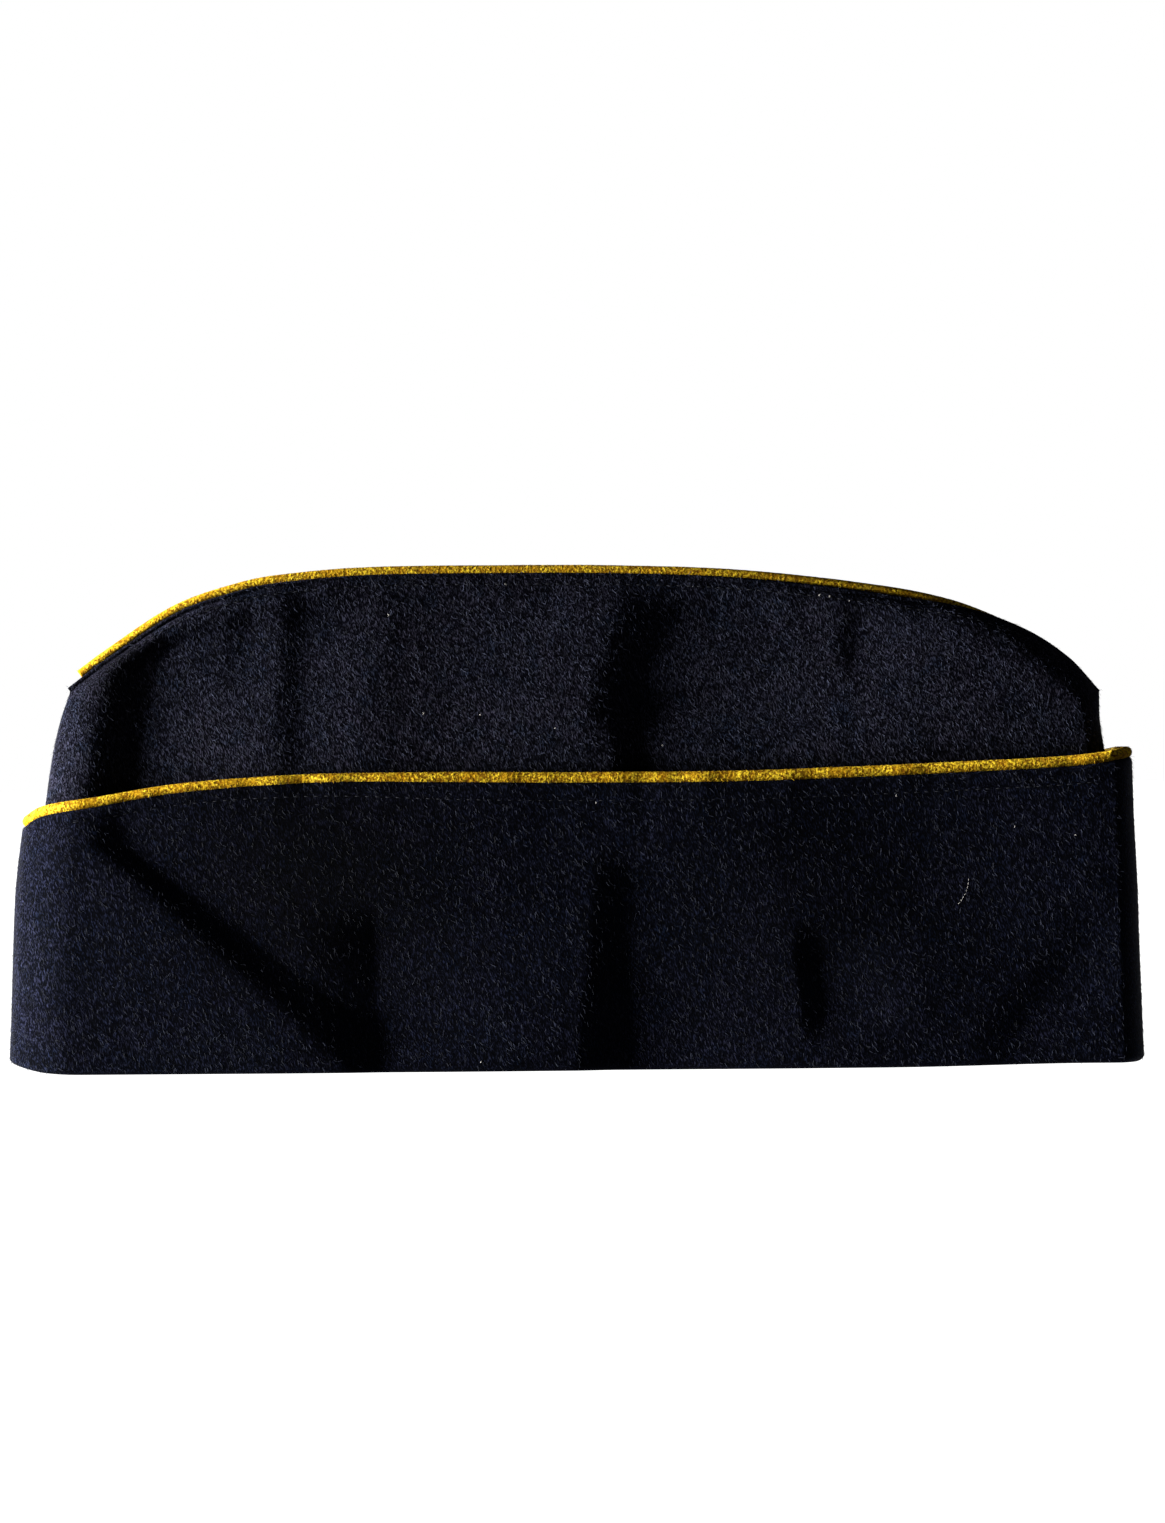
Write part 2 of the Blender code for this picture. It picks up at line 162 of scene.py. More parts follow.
# %% Light
KEY_STRENGTH = 26.0
KEY_AZIMUTH = math.radians(85)
KEY_ELEVATION = math.radians(1.5)
FAR_STRENGTH = 4.5
FAR_AZIMUTH = math.radians(140)
FAR_ELEVATION = math.radians(6)
PAPER_STRENGTH = 5.0
PAPER_ELEVATION = math.radians(60)
SUN_DISC = math.radians(10)
DIM_SKY = 0.04

cap_pieces = bpy.data.collections.new("cap_pieces")
paper_only = bpy.data.collections.new("paper_only")
paper_only.objects.link(floor)


def add_sun(name, strength, azimuth, elevation, lit):
    """A sun lamp for one collection. Azimuth 0 is the camera's side and 90 degrees the cap's front."""
    lamp = bpy.data.lights.new(name, "SUN")
    lamp.energy = strength
    lamp.angle = SUN_DISC
    sun = bpy.data.objects.new(name, lamp)
    across = math.cos(elevation)
    towards = Vector((-math.sin(azimuth) * across, -math.cos(azimuth) * across, math.sin(elevation)))
    sun.rotation_mode = "QUATERNION"
    sun.rotation_quaternion = towards.to_track_quat("Z", "Y")
    sun.light_linking.receiver_collection = lit
    sun.light_linking.blocker_collection = lit
    bpy.context.scene.collection.objects.link(sun)


add_sun("key_light", KEY_STRENGTH, KEY_AZIMUTH, KEY_ELEVATION, cap_pieces)
add_sun("far_light", FAR_STRENGTH, FAR_AZIMUTH, FAR_ELEVATION, cap_pieces)
add_sun("paper_light", PAPER_STRENGTH, 0.0, PAPER_ELEVATION, paper_only)

world = bpy.data.worlds.new("studio")
world.use_nodes = True
bpy.context.scene.world = world
tree = world.node_tree
rays = add_node(tree, "ShaderNodeLightPath", {}, {})
inputs = {"Value": rays.outputs["Is Camera Ray"], "To Min": DIM_SKY, "To Max": 1.0}
brightness = add_node(tree, "ShaderNodeMapRange", {}, inputs)
background = tree.nodes["Background"]
background.inputs["Color"].default_value = (1.0, 1.0, 1.0, 1.0)
tree.links.new(brightness.outputs["Result"], background.inputs["Strength"])
bpy.context.scene.view_settings.view_transform = "Standard"
print("key light from", round(math.degrees(KEY_AZIMUTH)), "degrees, nearly along the side of the cap")

# %% [markdown]
# The cloth of the cap is melton: woven wool that has been fulled until the threads disappear under a
# short matted nap. What the eye sees is nearly black, with a fine grain of paler fibres that mostly lie
# down the cap, small tufts and slow clouds of tone. The grain is a noise on object coordinates that is
# about four times longer along Z than across. A second noise bends it, because no nap lies straight. Real
# wool fibres are some 0.02 mm thick, too fine for the picture, so the grain is drawn coarser. The curtain
# has a darker copy of the melton with fewer pale fibres, which is painted shade. Painted shade also
# darkens the cloth along the seams and in a few patches over the folds, as an attribute of each mesh says.

# %% Navy melton wool
NAP_WIDTH = 0.24 * MM
NAP_LENGTH = 1.05 * MM
NAP_TILT = math.radians(-18)
NAP_DRIFT = 4 * MM
NAP_BEND = 1.0 * MM
TUFT = 1.9 * MM
BLUE_CLOUD = 6 * MM
CLOUD = 26 * MM
TUFT_RELIEF = 0.15 * MM
NAP_RELIEF = 0.08 * MM


def scaled_noise(tree, vector, width, length=None, detail=2.0, roughness=0.55, tilt=0.0, output="Fac"):
    """Noise with lumps of a width, and a length along Z where it differs, in metres, tilted about Y."""
    inputs = {"Vector": vector, "Rotation": (0.0, tilt, 0.0), "Scale": (width, width, length or width)}
    mapping = add_node(tree, "ShaderNodeMapping", {"vector_type": "TEXTURE"}, inputs)
    inputs = {"Vector": mapping.outputs["Vector"], "Scale": 1.0, "Detail": detail, "Roughness": roughness}
    return add_node(tree, "ShaderNodeTexNoise", {}, inputs).outputs[output]


def two_tones(tree, value, start, end, first, second, most=1.0, step="SMOOTHSTEP"):
    """Goes from the first colour towards the second, by most, as a value rises from start to end."""
    inputs = {"Value": value, "From Min": start, "From Max": end, "To Max": most}
    share = add_node(tree, "ShaderNodeMapRange", {"interpolation_type": step}, inputs)
    inputs = {"Factor_Float": share.outputs["Result"], "A_Color": first, "B_Color": second}
    return socket(add_node(tree, "ShaderNodeMix", {"data_type": "RGBA"}, inputs).outputs, "Result_Color")


def shaded(tree, cloth, value, start, end, first, second, step="SMOOTHSTEP"):
    """A colour multiplied by two tones: a thin dye that takes more in one place than in another, or
    painted shade.
    """
    tint = two_tones(tree, value, start, end, first, second, step=step)
    inputs = {"Factor_Float": 1.0, "A_Color": cloth, "B_Color": tint}
    node = add_node(tree, "ShaderNodeMix", {"data_type": "RGBA", "blend_type": "MULTIPLY"}, inputs)
    return socket(node.outputs, "Result_Color")


def bend_place(tree, place, spacing, amount):
    """Object coordinates pushed to and fro by a noise, so that a pattern wanders."""
    drift = scaled_noise(tree, place, spacing, detail=1.0, output="Color")
    inputs = {"Vector": drift, "Vector_001": (amount,) * 3, "Vector_002": place}
    return add_node(tree, "ShaderNodeVectorMath", {"operation": "MULTIPLY_ADD"}, inputs).outputs["Vector"]


def add_painted_shade(tree, cloth):
    """Painted shade: a colour made darker where the piece's attribute says, along seams and over folds."""
    painted_shade = add_node(tree, "ShaderNodeAttribute", {"attribute_name": "painted_shade"}, {}).outputs["Fac"]
    return shaded(tree, cloth, painted_shade, 0.0, 1.0, "#FFFFFF", "#484A50", "LINEAR")


def make_melton(name, gap_colour, fibre_colour, start, end):
    """Melton with colours for the gaps and the fibres, which show as the noise rises from start to end."""
    material, tree, shader, place = start_material(name, 0.95, 0.03)
    wandering = bend_place(tree, place, NAP_DRIFT, NAP_BEND)
    nap = scaled_noise(tree, wandering, NAP_WIDTH, NAP_LENGTH, roughness=0.5, tilt=NAP_TILT)
    tufts = scaled_noise(tree, place, TUFT)
    cloth = two_tones(tree, nap, start, end, gap_colour, fibre_colour)
    cloth = shaded(tree, cloth, tufts, 0.3, 0.7, "#B4B4B4", "#FFFFFF")
    cloth = shaded(tree, cloth, scaled_noise(tree, place, CLOUD), 0.3, 0.7, "#C4D2E0", "#FFFCFF")
    cloth = shaded(tree, cloth, scaled_noise(tree, place, BLUE_CLOUD), 0.5, 0.7, "#FBF8FF", "#CFE4F6")
    # Painted shade darkens the cloth where the piece's attribute says.
    tree.links.new(add_painted_shade(tree, cloth), shader.inputs["Base Color"])
    inputs = {"Height": tufts, "Strength": 0.5, "Distance": TUFT_RELIEF}
    tuft_relief = add_node(tree, "ShaderNodeBump", {}, inputs).outputs["Normal"]
    inputs = {"Height": nap, "Strength": 0.5, "Distance": NAP_RELIEF, "Normal": tuft_relief}
    nap_relief = add_node(tree, "ShaderNodeBump", {}, inputs).outputs["Normal"]
    tree.links.new(nap_relief, shader.inputs["Normal"])
    return material


melton = make_melton("navy_melton_wool", "#020209", "#494957", 0.48, 0.70)
# The curtain's melton is a darker copy of the same wool, as painted shade.
shaded_melton = make_melton("navy_melton_wool_painted_darker", "#000107", "#2E3143", 0.49, 0.71)
print("melton grain of", round(NAP_WIDTH / MM, 2), "by", round(NAP_LENGTH / MM, 2), "mm")

# %% [markdown]
# The piping is a cord wrapped in thin yellow wool felt. Felt has no threads that show. It has lumps of
# about two thirds of a millimetre, worn brown specks and slower clouds where the dye took more or less.
# All are even noises on object coordinates, so the pattern doesn't stretch where the cord bends.

# %% Yellow wool felt
FELT_LUMP = 0.65 * MM
FELT_CLOUD = 3.2 * MM
FELT_SPECK = 1.2 * MM
FELT_RELIEF = 0.25 * MM

felt, tree, shader, place = start_material("yellow_wool_felt", 0.9, 0.05)
lumps = scaled_noise(tree, place, FELT_LUMP, detail=3.0, roughness=0.6)
dye = two_tones(tree, lumps, 0.39, 0.61, "#6A4604", "#F6D030")
dye = two_tones(tree, scaled_noise(tree, place, FELT_CLOUD), 0.4, 0.62, dye, "#A87808", most=0.7)
dye = two_tones(tree, scaled_noise(tree, place, FELT_SPECK), 0.52, 0.66, dye, "#6E4404", most=0.8)
tree.links.new(dye, shader.inputs["Base Color"])
inputs = {"Height": lumps, "Strength": 1.0, "Distance": FELT_RELIEF}
felt_relief = add_node(tree, "ShaderNodeBump", {}, inputs).outputs["Normal"]
tree.links.new(felt_relief, shader.inputs["Normal"])
print("felt lumps of", round(FELT_LUMP / MM, 2), "mm")

# %% [markdown]
# A few small finishes are left. The topstitching is navy polyester thread, which is smoother than wool
# and nearly black, so it shows as a fine broken line. The lint on the cap is a few pale cotton fibres. The
# loose fibres that stand off wool have the wool's own colour, with the same painted shade as their cloth.

# %% Thread, lint and loose fibres
# Columns: name, size of the grain (metres), noise values of its dark and light end, the two colours,
# roughness, specular level.
STRANDS = (
    ("navy_polyester_thread", 0.5 * MM, 0.35, 0.65, "#030408", "#0B0D14", 0.7, 0.1),
    ("pale_cotton_lint", 0.2 * MM, 0.3, 0.7, "#706C68", "#B4B0A8", 0.9, 0.5),
    ("loose_navy_fibres", 1.2 * MM, 0.3, 0.7, "#0C0D12", "#2E3242", 0.8, 0.1),
    # The curtain's loose fibres are darker to match, painted shade too.
    ("loose_navy_fibres_painted_darker", 1.2 * MM, 0.3, 0.7, "#07080C", "#222633", 0.8, 0.1),
    ("loose_yellow_fibres", 1.2 * MM, 0.3, 0.7, "#86600A", "#C09818", 0.8, 0.1),
)


def make_strands(name, grain, start, end, dark, light, roughness, specular):
    """Single strands. Each is lit by itself, so a plain grain from dark to light is enough."""
    material, tree, shader, place = start_material(name, roughness, specular)
    colour = two_tones(tree, scaled_noise(tree, place, grain), start, end, dark, light)
    # Painted shade darkens the loose fibres as it does their cloth; thread and lint carry none.
    tree.links.new(add_painted_shade(tree, colour), shader.inputs["Base Color"])
    return material


thread, lint, crown_fibres, shaded_curtain_fibres, yellow_fibres = [make_strands(*row) for row in STRANDS]
print("materials:", [melton.name, shaded_melton.name, felt.name] + [row[0] for row in STRANDS])

# %% [markdown]
# The cap is a long narrow tent, and its shape follows from a few real sizes. The ridge and the curtain's
# top edge are curves through the rows of two small tables, read as shares of the cap's length and
# height, and so are the lean of both ends and the gap between curtain and crown. These are the same
# rows that the fixed model was made from, so the fine pieces land where the plain ones are.

# %% Sizes and outline tables
CAP_LENGTH = 282 * MM
CAP_HEIGHT = 125.3 * MM
RIM_WIDTH = 36 * MM
CURTAIN_HEIGHT = 72.5 * MM
CROWN_CLOTH = 2.0 * MM
CURTAIN_CLOTH = 2.4 * MM
RIDGE_PIPING_RADIUS = 1.45 * MM
CURTAIN_PIPING_RADIUS = 1.40 * MM
END_LEAN = 10.2 * MM
END_CLEARANCE = 1.0 * MM
CURTAIN_STANDOFF = 3.0 * MM
SEAM_HALF_WIDTH = 1.5 * MM
SEAM_DEPTH = 0.8 * MM
RIM_CORNER_RADIUS = 1.8 * MM
LEFT = -1
RIGHT = 1

# Columns: place along the ridge (share), height of the ridge (share of CAP_HEIGHT).
RIDGE_LINE = (
    (0.000, 0.777), (0.038, 0.835), (0.109, 0.928), (0.168, 0.969), (0.204, 0.984),
    (0.287, 0.998), (0.404, 1.000), (0.540, 0.997), (0.655, 0.986), (0.779, 0.956),
    (0.860, 0.922), (0.924, 0.866), (0.971, 0.801), (1.000, 0.735),
)
# Columns: place along the curtain (share), height of its piping (share of CURTAIN_HEIGHT).
CURTAIN_LINE = (
    (0.000, 0.865), (0.016, 0.899), (0.068, 0.928), (0.141, 0.970), (0.250, 0.997),
    (0.360, 1.001), (0.500, 0.996), (0.645, 0.996), (0.754, 1.007), (0.863, 1.022),
    (0.935, 1.034), (0.971, 1.047), (1.000, 1.065),
)
# Columns: height (share of the crown), lean of the front edge and of the back edge (shares of END_LEAN).
END_EDGES = (
    (0.00, 0.00, 0.00),
    (0.45, 0.24, 0.19),
    (0.67, 0.52, 0.40),
    (0.83, 0.70, 0.55),
    (0.92, 0.85, 0.67),
    (1.00, 1.06, 0.69),
)
# Columns: height (share of the curtain), gap to the crown at the front, side and back (CURTAIN_STANDOFF).
STANDOFF = (
    (0.0, 0.00, 0.20, 0.00),
    (0.5, 0.15, 0.30, 0.20),
    (1.0, 0.50, 1.00, 1.05),
)


def smooth_step(value):
    """0 below 0, 1 above 1 and a soft S between."""
    value = min(max(value, 0.0), 1.0)
    return value * value * (3 - 2 * value)


def read_table(rows, column, place):
    """A column of a table at any place along its first column, on one smooth curve through the rows."""
    place = min(max(place, rows[0][0]), rows[-1][0])
    index = 0
    while index < len(rows) - 2 and place > rows[index + 1][0]:
        index += 1

    def slope(row):
        before = rows[max(row - 1, 0)]
        after = rows[min(row + 1, len(rows) - 1)]
        return (after[column] - before[column]) / (after[0] - before[0])

    step = rows[index + 1][0] - rows[index][0]
    t = (place - rows[index][0]) / step
    start, end = rows[index][column], rows[index + 1][column]
    return (
        (1 + 2 * t) * (1 - t) ** 2 * start
        + t * t * (3 - 2 * t) * end
        + t * (1 - t) ** 2 * step * slope(index)
        - t * t * (1 - t) * step * slope(index + 1)
    )


print("ridge at mid-length, mm:", round(CAP_HEIGHT * read_table(RIDGE_LINE, 1, 0.5) / MM, 1))

# %% [markdown]
# Folds are what makes wool look like wool. Each is a valley between two points of the side, with a wall
# towards the front and one towards the back that can differ in width, because a crease in thick cloth is
# steep on one side and eases out on the other. A row of a table describes one fold. Adding the depths of
# all rows at a point says how far the cloth is pushed in there.

# %% Fold tables
FOLD_DEPTH = 4 * MM
FOLD_RUNOUT = 12 * MM

# Columns: side, top and foot of the valley (shares of CAP_LENGTH and CAP_HEIGHT), width of the front and
# back wall at the top, the same at the foot (shares of CAP_LENGTH), depth at the top and foot (shares of
# FOLD_DEPTH, less than 0 for a crest), crispness of the valley's floor.
CURTAIN_FOLDS = (
    (LEFT, (-0.424, 0.455), (-0.203, 0.000), (0.090, 0.032), (0.200, 0.040), (-0.22, -0.17), 0.0),
    (LEFT, (-0.400, 0.455), (-0.180, 0.087), (0.038, 0.250), (0.062, 0.160), (0.22, 0.34), 0.8),
    (LEFT, (-0.176, 0.260), (-0.174, 0.000), (0.072, 0.300), (0.036, 0.110), (0.54, 0.26), 0.8),
    (LEFT, (0.048, 0.360), (0.034, 0.000), (0.036, 0.200), (0.038, 0.200), (0.28, 0.64), 0.3),
    (LEFT, (0.212, 0.215), (0.216, 0.120), (0.024, 0.090), (0.022, 0.090), (0.30, 0.28), 0.2),
    (LEFT, (0.300, 0.520), (0.310, 0.280), (0.150, 0.150), (0.150, 0.150), (0.20, 0.20), 0.0),
    (LEFT, (0.450, 0.260), (0.385, 0.060), (0.040, 0.080), (0.040, 0.080), (0.10, 0.16), 0.2),
    (RIGHT, (-0.430, 0.460), (-0.230, 0.000), (0.090, 0.030), (0.190, 0.040), (-0.20, -0.34), 0.0),
    (RIGHT, (0.150, 0.340), (0.135, 0.000), (0.032, 0.090), (0.034, 0.110), (0.14, 0.40), 0.3),
)
CROWN_FOLDS = (
    (LEFT, (-0.360, 0.840), (-0.398, 0.480), (0.062, 0.200), (0.050, 0.200), (0.54, 0.84), 0.2),
    (LEFT, (-0.372, 0.900), (-0.400, 0.700), (0.060, 0.050), (0.050, 0.050), (0.12, 0.06), 0.0),
    (LEFT, (-0.232, 0.930), (-0.237, 0.640), (0.030, 0.070), (0.030, 0.070), (0.17, 0.17), 0.0),
    (LEFT, (-0.283, 0.930), (-0.290, 0.800), (0.024, 0.040), (0.024, 0.040), (0.09, 0.06), 0.2),
    (LEFT, (-0.105, 0.930), (-0.115, 0.560), (0.180, 0.140), (0.180, 0.140), (0.22, 0.22), 0.0),
    (LEFT, (0.108, 0.930), (0.056, 0.730), (0.074, 0.380), (0.048, 0.340), (0.50, 0.44), 0.0),
    (LEFT, (0.056, 0.700), (0.060, 0.560), (0.028, 0.300), (0.028, 0.300), (0.32, 0.40), 0.2),
    (LEFT, (0.254, 0.920), (0.252, 0.830), (0.024, 0.060), (0.024, 0.060), (0.16, 0.14), 0.2),
    (RIGHT, (-0.200, 0.860), (-0.220, 0.560), (0.045, 0.090), (0.050, 0.100), (0.30, 0.40), 0.2),
    (RIGHT, (0.240, 0.840), (0.225, 0.560), (0.040, 0.090), (0.050, 0.100), (0.25, 0.35), 0.2),
)


def fold_depth(x, z, side, folds):
    """How far the cloth is pushed in at a point of one side of the cap, by all folds of a table."""
    depth = 0.0
    for fold_side, top, foot, top_walls, foot_walls, depths, crispness in folds:
        if fold_side != side:
            continue
        top_x, top_z = top[0] * CAP_LENGTH, top[1] * CAP_HEIGHT
        foot_x, foot_z = foot[0] * CAP_LENGTH, foot[1] * CAP_HEIGHT
        down = (top_z - z) / (top_z - foot_z)
        along = min(max(down, 0.0), 1.0)
        across = x - (top_x + (foot_x - top_x) * along)
        wall = 0 if across < 0 else 1
        width = CAP_LENGTH * (top_walls[wall] + (foot_walls[wall] - top_walls[wall]) * along)
        nearness = 1 - abs(across) / width
        if nearness <= 0:
            continue
        fade = smooth_step(1 + min(down, 0.0) * (top_z - foot_z) / FOLD_RUNOUT)
        fade *= smooth_step(1 - max(down - 1, 0.0) * (top_z - foot_z) / FOLD_RUNOUT)
        profile = crispness * nearness**2 + (1 - crispness) * smooth_step(nearness)
        depth += FOLD_DEPTH * (depths[0] + (depths[1] - depths[0]) * along) * profile * fade
    return depth


print("folds:", len(CURTAIN_FOLDS), "in the curtain and", len(CROWN_FOLDS), "in the crown")

# %% [markdown]
# Worn cloth is never flat between its folds either. Two noises from mathutils swell and ripple it, a
# third gathers small puckers under the seams, and the line of topstitching presses a shallow groove.
# They go into the mesh and not into a bump map, because light that grazes the cloth, and anyone who
# turns the model round, can tell the difference.

# %% Small relief
SWELL_SPACING = 34 * MM
SWELL_HEIGHT = 0.16 * MM
RIPPLE_SPACING = 9 * MM
RIPPLE_HEIGHT = 0.04 * MM
PUCKER_SPACING = 7 * MM
PUCKER_DEPTH = 0.30 * MM
PUCKER_REACH = 7 * MM
RIDGE_GROOVE = 0.05 * MM
CURTAIN_GROOVE = 0.16 * MM
GROOVE_WIDTH = 0.55 * MM
PUCKER_STRETCH = 0.3


def unevenness(x, z, side):
    """Slow swells and quick ripples of worn cloth."""
    place = Vector((x, side * CAP_LENGTH, z))
    swell = SWELL_HEIGHT * noise.noise(place / SWELL_SPACING)
    return swell + RIPPLE_HEIGHT * noise.noise(place / RIPPLE_SPACING)


def seam_relief(x, below, side, stitch_drop, groove):
    """Puckers that run down from a seam and the groove of the stitching, at a distance below the seam."""
    gather = noise.noise(Vector((x / PUCKER_SPACING, side, PUCKER_STRETCH * below / PUCKER_SPACING)))
    pucker = PUCKER_DEPTH * gather * math.exp(-max(below, 0.0) / PUCKER_REACH)
    return pucker + groove * math.exp(-(((below - stitch_drop) / GROOVE_WIDTH) ** 2))


print("puckers every", round(PUCKER_SPACING / MM), "mm or so")

# %% [markdown]
# Now the body. At a share of the length and a share of the height, body_point gives the point on the
# cap's side: the ends lean in, the sides bulge between them and draw together towards the ridge, and the
# relief pushes the cloth in. The ridge piping lies in the seam on top, so the panels end in a lip that
# is described by an angle round the piping, counted from its underside.

# %% Body of the cap
CROWN_HALF_LENGTH = CAP_LENGTH / 2 - CURTAIN_CLOTH - END_CLEARANCE
SIDE_CLEARANCE = STANDOFF[0][2] * CURTAIN_STANDOFF
BODY_HALF_WIDTH = RIM_WIDTH / 2 - CURTAIN_CLOTH - SIDE_CLEARANCE
LIP_CLOTH = 1.5 * MM
LIP_RADIUS = RIDGE_PIPING_RADIUS + LIP_CLOTH
LIP_ANGLE = math.radians(55)
ROLLED_LIP_ANGLE = math.radians(125)
ROLL_START = 0.80
ROLL_END = 0.96
FRONT_ROUNDING = 0.055
BACK_ROUNDING = 0.022
FRONT_NARROWING = 0.34
NARROWING_FADE = 5
CROWN_TAPER = 2.8
TOP_LEAN_POWER = 4
RIDGE_ROUNDING = 0.12
SLOPE_STEP = 0.01


def crown_ends(height_share):
    """X of the crown's front and back edge at a share of its height."""
    front = -CROWN_HALF_LENGTH + END_LEAN * read_table(END_EDGES, 1, height_share)
    back = CROWN_HALF_LENGTH - END_LEAN * read_table(END_EDGES, 2, height_share)
    return front, back


RIDGE_FRONT, RIDGE_BACK = crown_ends(1.0)


@cache
def ridge_point(share):
    """Point on the outermost line of the ridge, as X and Z."""
    return RIDGE_FRONT + (RIDGE_BACK - RIDGE_FRONT) * share, CAP_HEIGHT * read_table(RIDGE_LINE, 1, share)


@cache
def ridge_frame(share):
    """Centre of the ridge piping and the direction that points straight out of the ridge there."""
    x, z = ridge_point(share)
    before = ridge_point(max(share - SLOPE_STEP, 0.0))
    after = ridge_point(min(share + SLOPE_STEP, 1.0))
    along = Vector((after[0] - before[0], 0, after[1] - before[1])).normalized()
    out = Vector((-along.z, 0, along.x))
    return Vector((x, 0, z)) - out * RIDGE_PIPING_RADIUS, out


def lip_angle(share, side):
    """How far a panel's top edge reaches round the piping. The left one rolls over it at the back."""
    if side == RIGHT:
        return LIP_ANGLE
    roll = smooth_step((share - ROLL_START) / (ROLL_END - ROLL_START))
    return LIP_ANGLE + (ROLLED_LIP_ANGLE - LIP_ANGLE) * roll


def around_piping(share, side, radius, angle):
    """Point at a distance from the piping's centre, at an angle counted from its underside."""
    centre, out = ridge_frame(share)
    return centre - out * radius * math.cos(angle) + Vector((0, side * radius * math.sin(angle), 0))


@cache
def lip_point(share, side):
    return around_piping(share, side, LIP_RADIUS, lip_angle(share, side))


def quarter_round(share):
    """Rises from 0 at 0 to 1 at 1 like a quarter of a circle, and stays 1 after that."""
    share = min(max(share, 0.0), 1.0)
    return math.sqrt(1 - (1 - share) ** 2)


@cache
def bulge(share):
    """How full the sides are: nearly flat, narrower in front and round at both ends."""
    rounded = quarter_round(share / FRONT_ROUNDING) * quarter_round((1 - share) / BACK_ROUNDING)
    return rounded * (1 - FRONT_NARROWING * (1 - share) ** NARROWING_FADE)


def body_point(share, height_share, side, top, outset, blunt, relief):
    """Point on the cap's body.

    outset moves it out of the crown's outer face at the front, side and back. blunt is half the width
    that it keeps at the end seams. top is the point that the surface reaches at height_share 1, and
    relief(x, z) says how far the cloth is pushed in.
    """
    front, back = crown_ends(height_share)
    front -= outset[0]
    back += outset[2]
    x = front + (back - front) * share + (top.x - ridge_point(share)[0]) * height_share**TOP_LEAN_POWER
    z = top.z * height_share
    fullness = 1 - min(z / CAP_HEIGHT, 1.0) ** CROWN_TAPER
    fullness *= quarter_round((1 - height_share) / RIDGE_ROUNDING)
    width = (BODY_HALF_WIDTH - SEAM_HALF_WIDTH) * fullness + SEAM_HALF_WIDTH + outset[1]
    y = blunt + bulge(share) * max(0.0, width - blunt)
    runout = smooth_step(min(x - front, back - x) / FOLD_RUNOUT)
    if runout > 0:
        y = max(y - runout * relief(x, z), 0.0)
    return Vector((x, side * y, z))


print("widest half of the body, mm:", round(BODY_HALF_WIDTH / MM, 1))

# %% [markdown]
# A cloth panel is a closed skin: outer face, turned edge, inner face. Its outline at one place along the
# cap is a list of points, and the skin runs through hundreds of such outlines. In Blender that is a
# grid whose vertices are moved: one direction of the grid goes along the cap and the other round the
# outline. Both ends are rolled in to the middle, which leaves the groove of a sewn seam between the left
# and the right panel.

# %% Lofting a panel
STATIONS = 352
END_STATIONS = 24
SEAM_STEPS = 5
MERGE_DISTANCE = 0.0001 * MM


@cache
def station_shares():
    """Places along the cap from 0 at the front to 1 at the back, close together in the rounded ends."""
    turns = [1 - math.cos(math.pi / 2 * step / END_STATIONS) for step in range(END_STATIONS + 1)]
    flat = 1 - FRONT_ROUNDING - BACK_ROUNDING
    front = [FRONT_ROUNDING * turn for turn in turns[:-1]]
    middle = [FRONT_ROUNDING + flat * step / STATIONS for step in range(STATIONS)]
    back = [1 - BACK_ROUNDING * turn for turn in reversed(turns)]
    return front + middle + back


def roll_into_seam(outline, step, towards_middle):
    """A copy of an end outline, drawn in to the seam along a quarter of an ellipse."""
    turn = math.pi / 2 * step / SEAM_STEPS
    inward = towards_middle * SEAM_DEPTH * (1 - math.cos(turn))
    squeeze = 1 - math.sin(turn)
    return [Vector((point.x + inward, point.y * squeeze, point.z)) for point in outline]


def with_seams(outlines):
    """The outlines of a panel with the rolled ones before the first and after the last."""
    front = [roll_into_seam(outlines[0], step, 1) for step in range(SEAM_STEPS, 0, -1)]
    back = [roll_into_seam(outlines[-1], step, -1) for step in range(1, SEAM_STEPS + 1)]
    return front + outlines + back


def loft(name, outlines, material, closed_ends=True):
    """A piece through outlines that all have the same number of points."""
    stations = len(outlines)
    points = len(outlines[0])
    bm = bmesh.new()
    bmesh.ops.create_grid(bm, x_segments=stations - 1, y_segments=points, size=0.5)
    for vert in bm.verts:
        station = round((vert.co.x + 0.5) * (stations - 1))
        point = round((vert.co.y + 0.5) * points) % points
        vert.co = outlines[station][point]
    bmesh.ops.remove_doubles(bm, verts=bm.verts, dist=MERGE_DISTANCE)
    if closed_ends:
        bmesh.ops.holes_fill(bm, edges=[edge for edge in bm.edges if edge.is_boundary], sides=0)
    bmesh.ops.recalc_face_normals(bm, faces=bm.faces)
    if bm.calc_volume(signed=True) < 0:
        bmesh.ops.reverse_faces(bm, faces=bm.faces)
    return finish_piece(name, bm, material)


def mark_painted_shade(piece, amount):
    """Writes how much painted shade darkens the cloth at each vertex, from 0 to 1."""
    attribute = piece.data.attributes.new("painted_shade", "FLOAT", "POINT")
    attribute.data.foreach_set("value", [amount(vertex.co) for vertex in piece.data.vertices])


def finish_piece(name, bm, material):
    """Makes an object of a bmesh, smooth and with its material, and links it to the scene."""
    mesh = bpy.data.meshes.new(name)
    bm.to_mesh(mesh)
    bm.free()
    mesh.materials.append(material)
    mesh.shade_smooth()
    piece = bpy.data.objects.new(name, mesh)
    bpy.context.scene.collection.objects.link(piece)
    cap_pieces.objects.link(piece)
    mesh.calc_loop_triangles()
    print(name, "has", len(mesh.loop_triangles), "triangles")
    return piece


def make_panel(name, side, outline, cloth, painted_shade):
    """A panel of one side through its outlines at all stations, with its painted shade."""
    panel = loft(name, with_seams([outline(share, side) for share in station_shares()]), cloth)
    mark_painted_shade(panel, painted_shade)
    return panel


print("stations along a panel:", len(station_shares()))

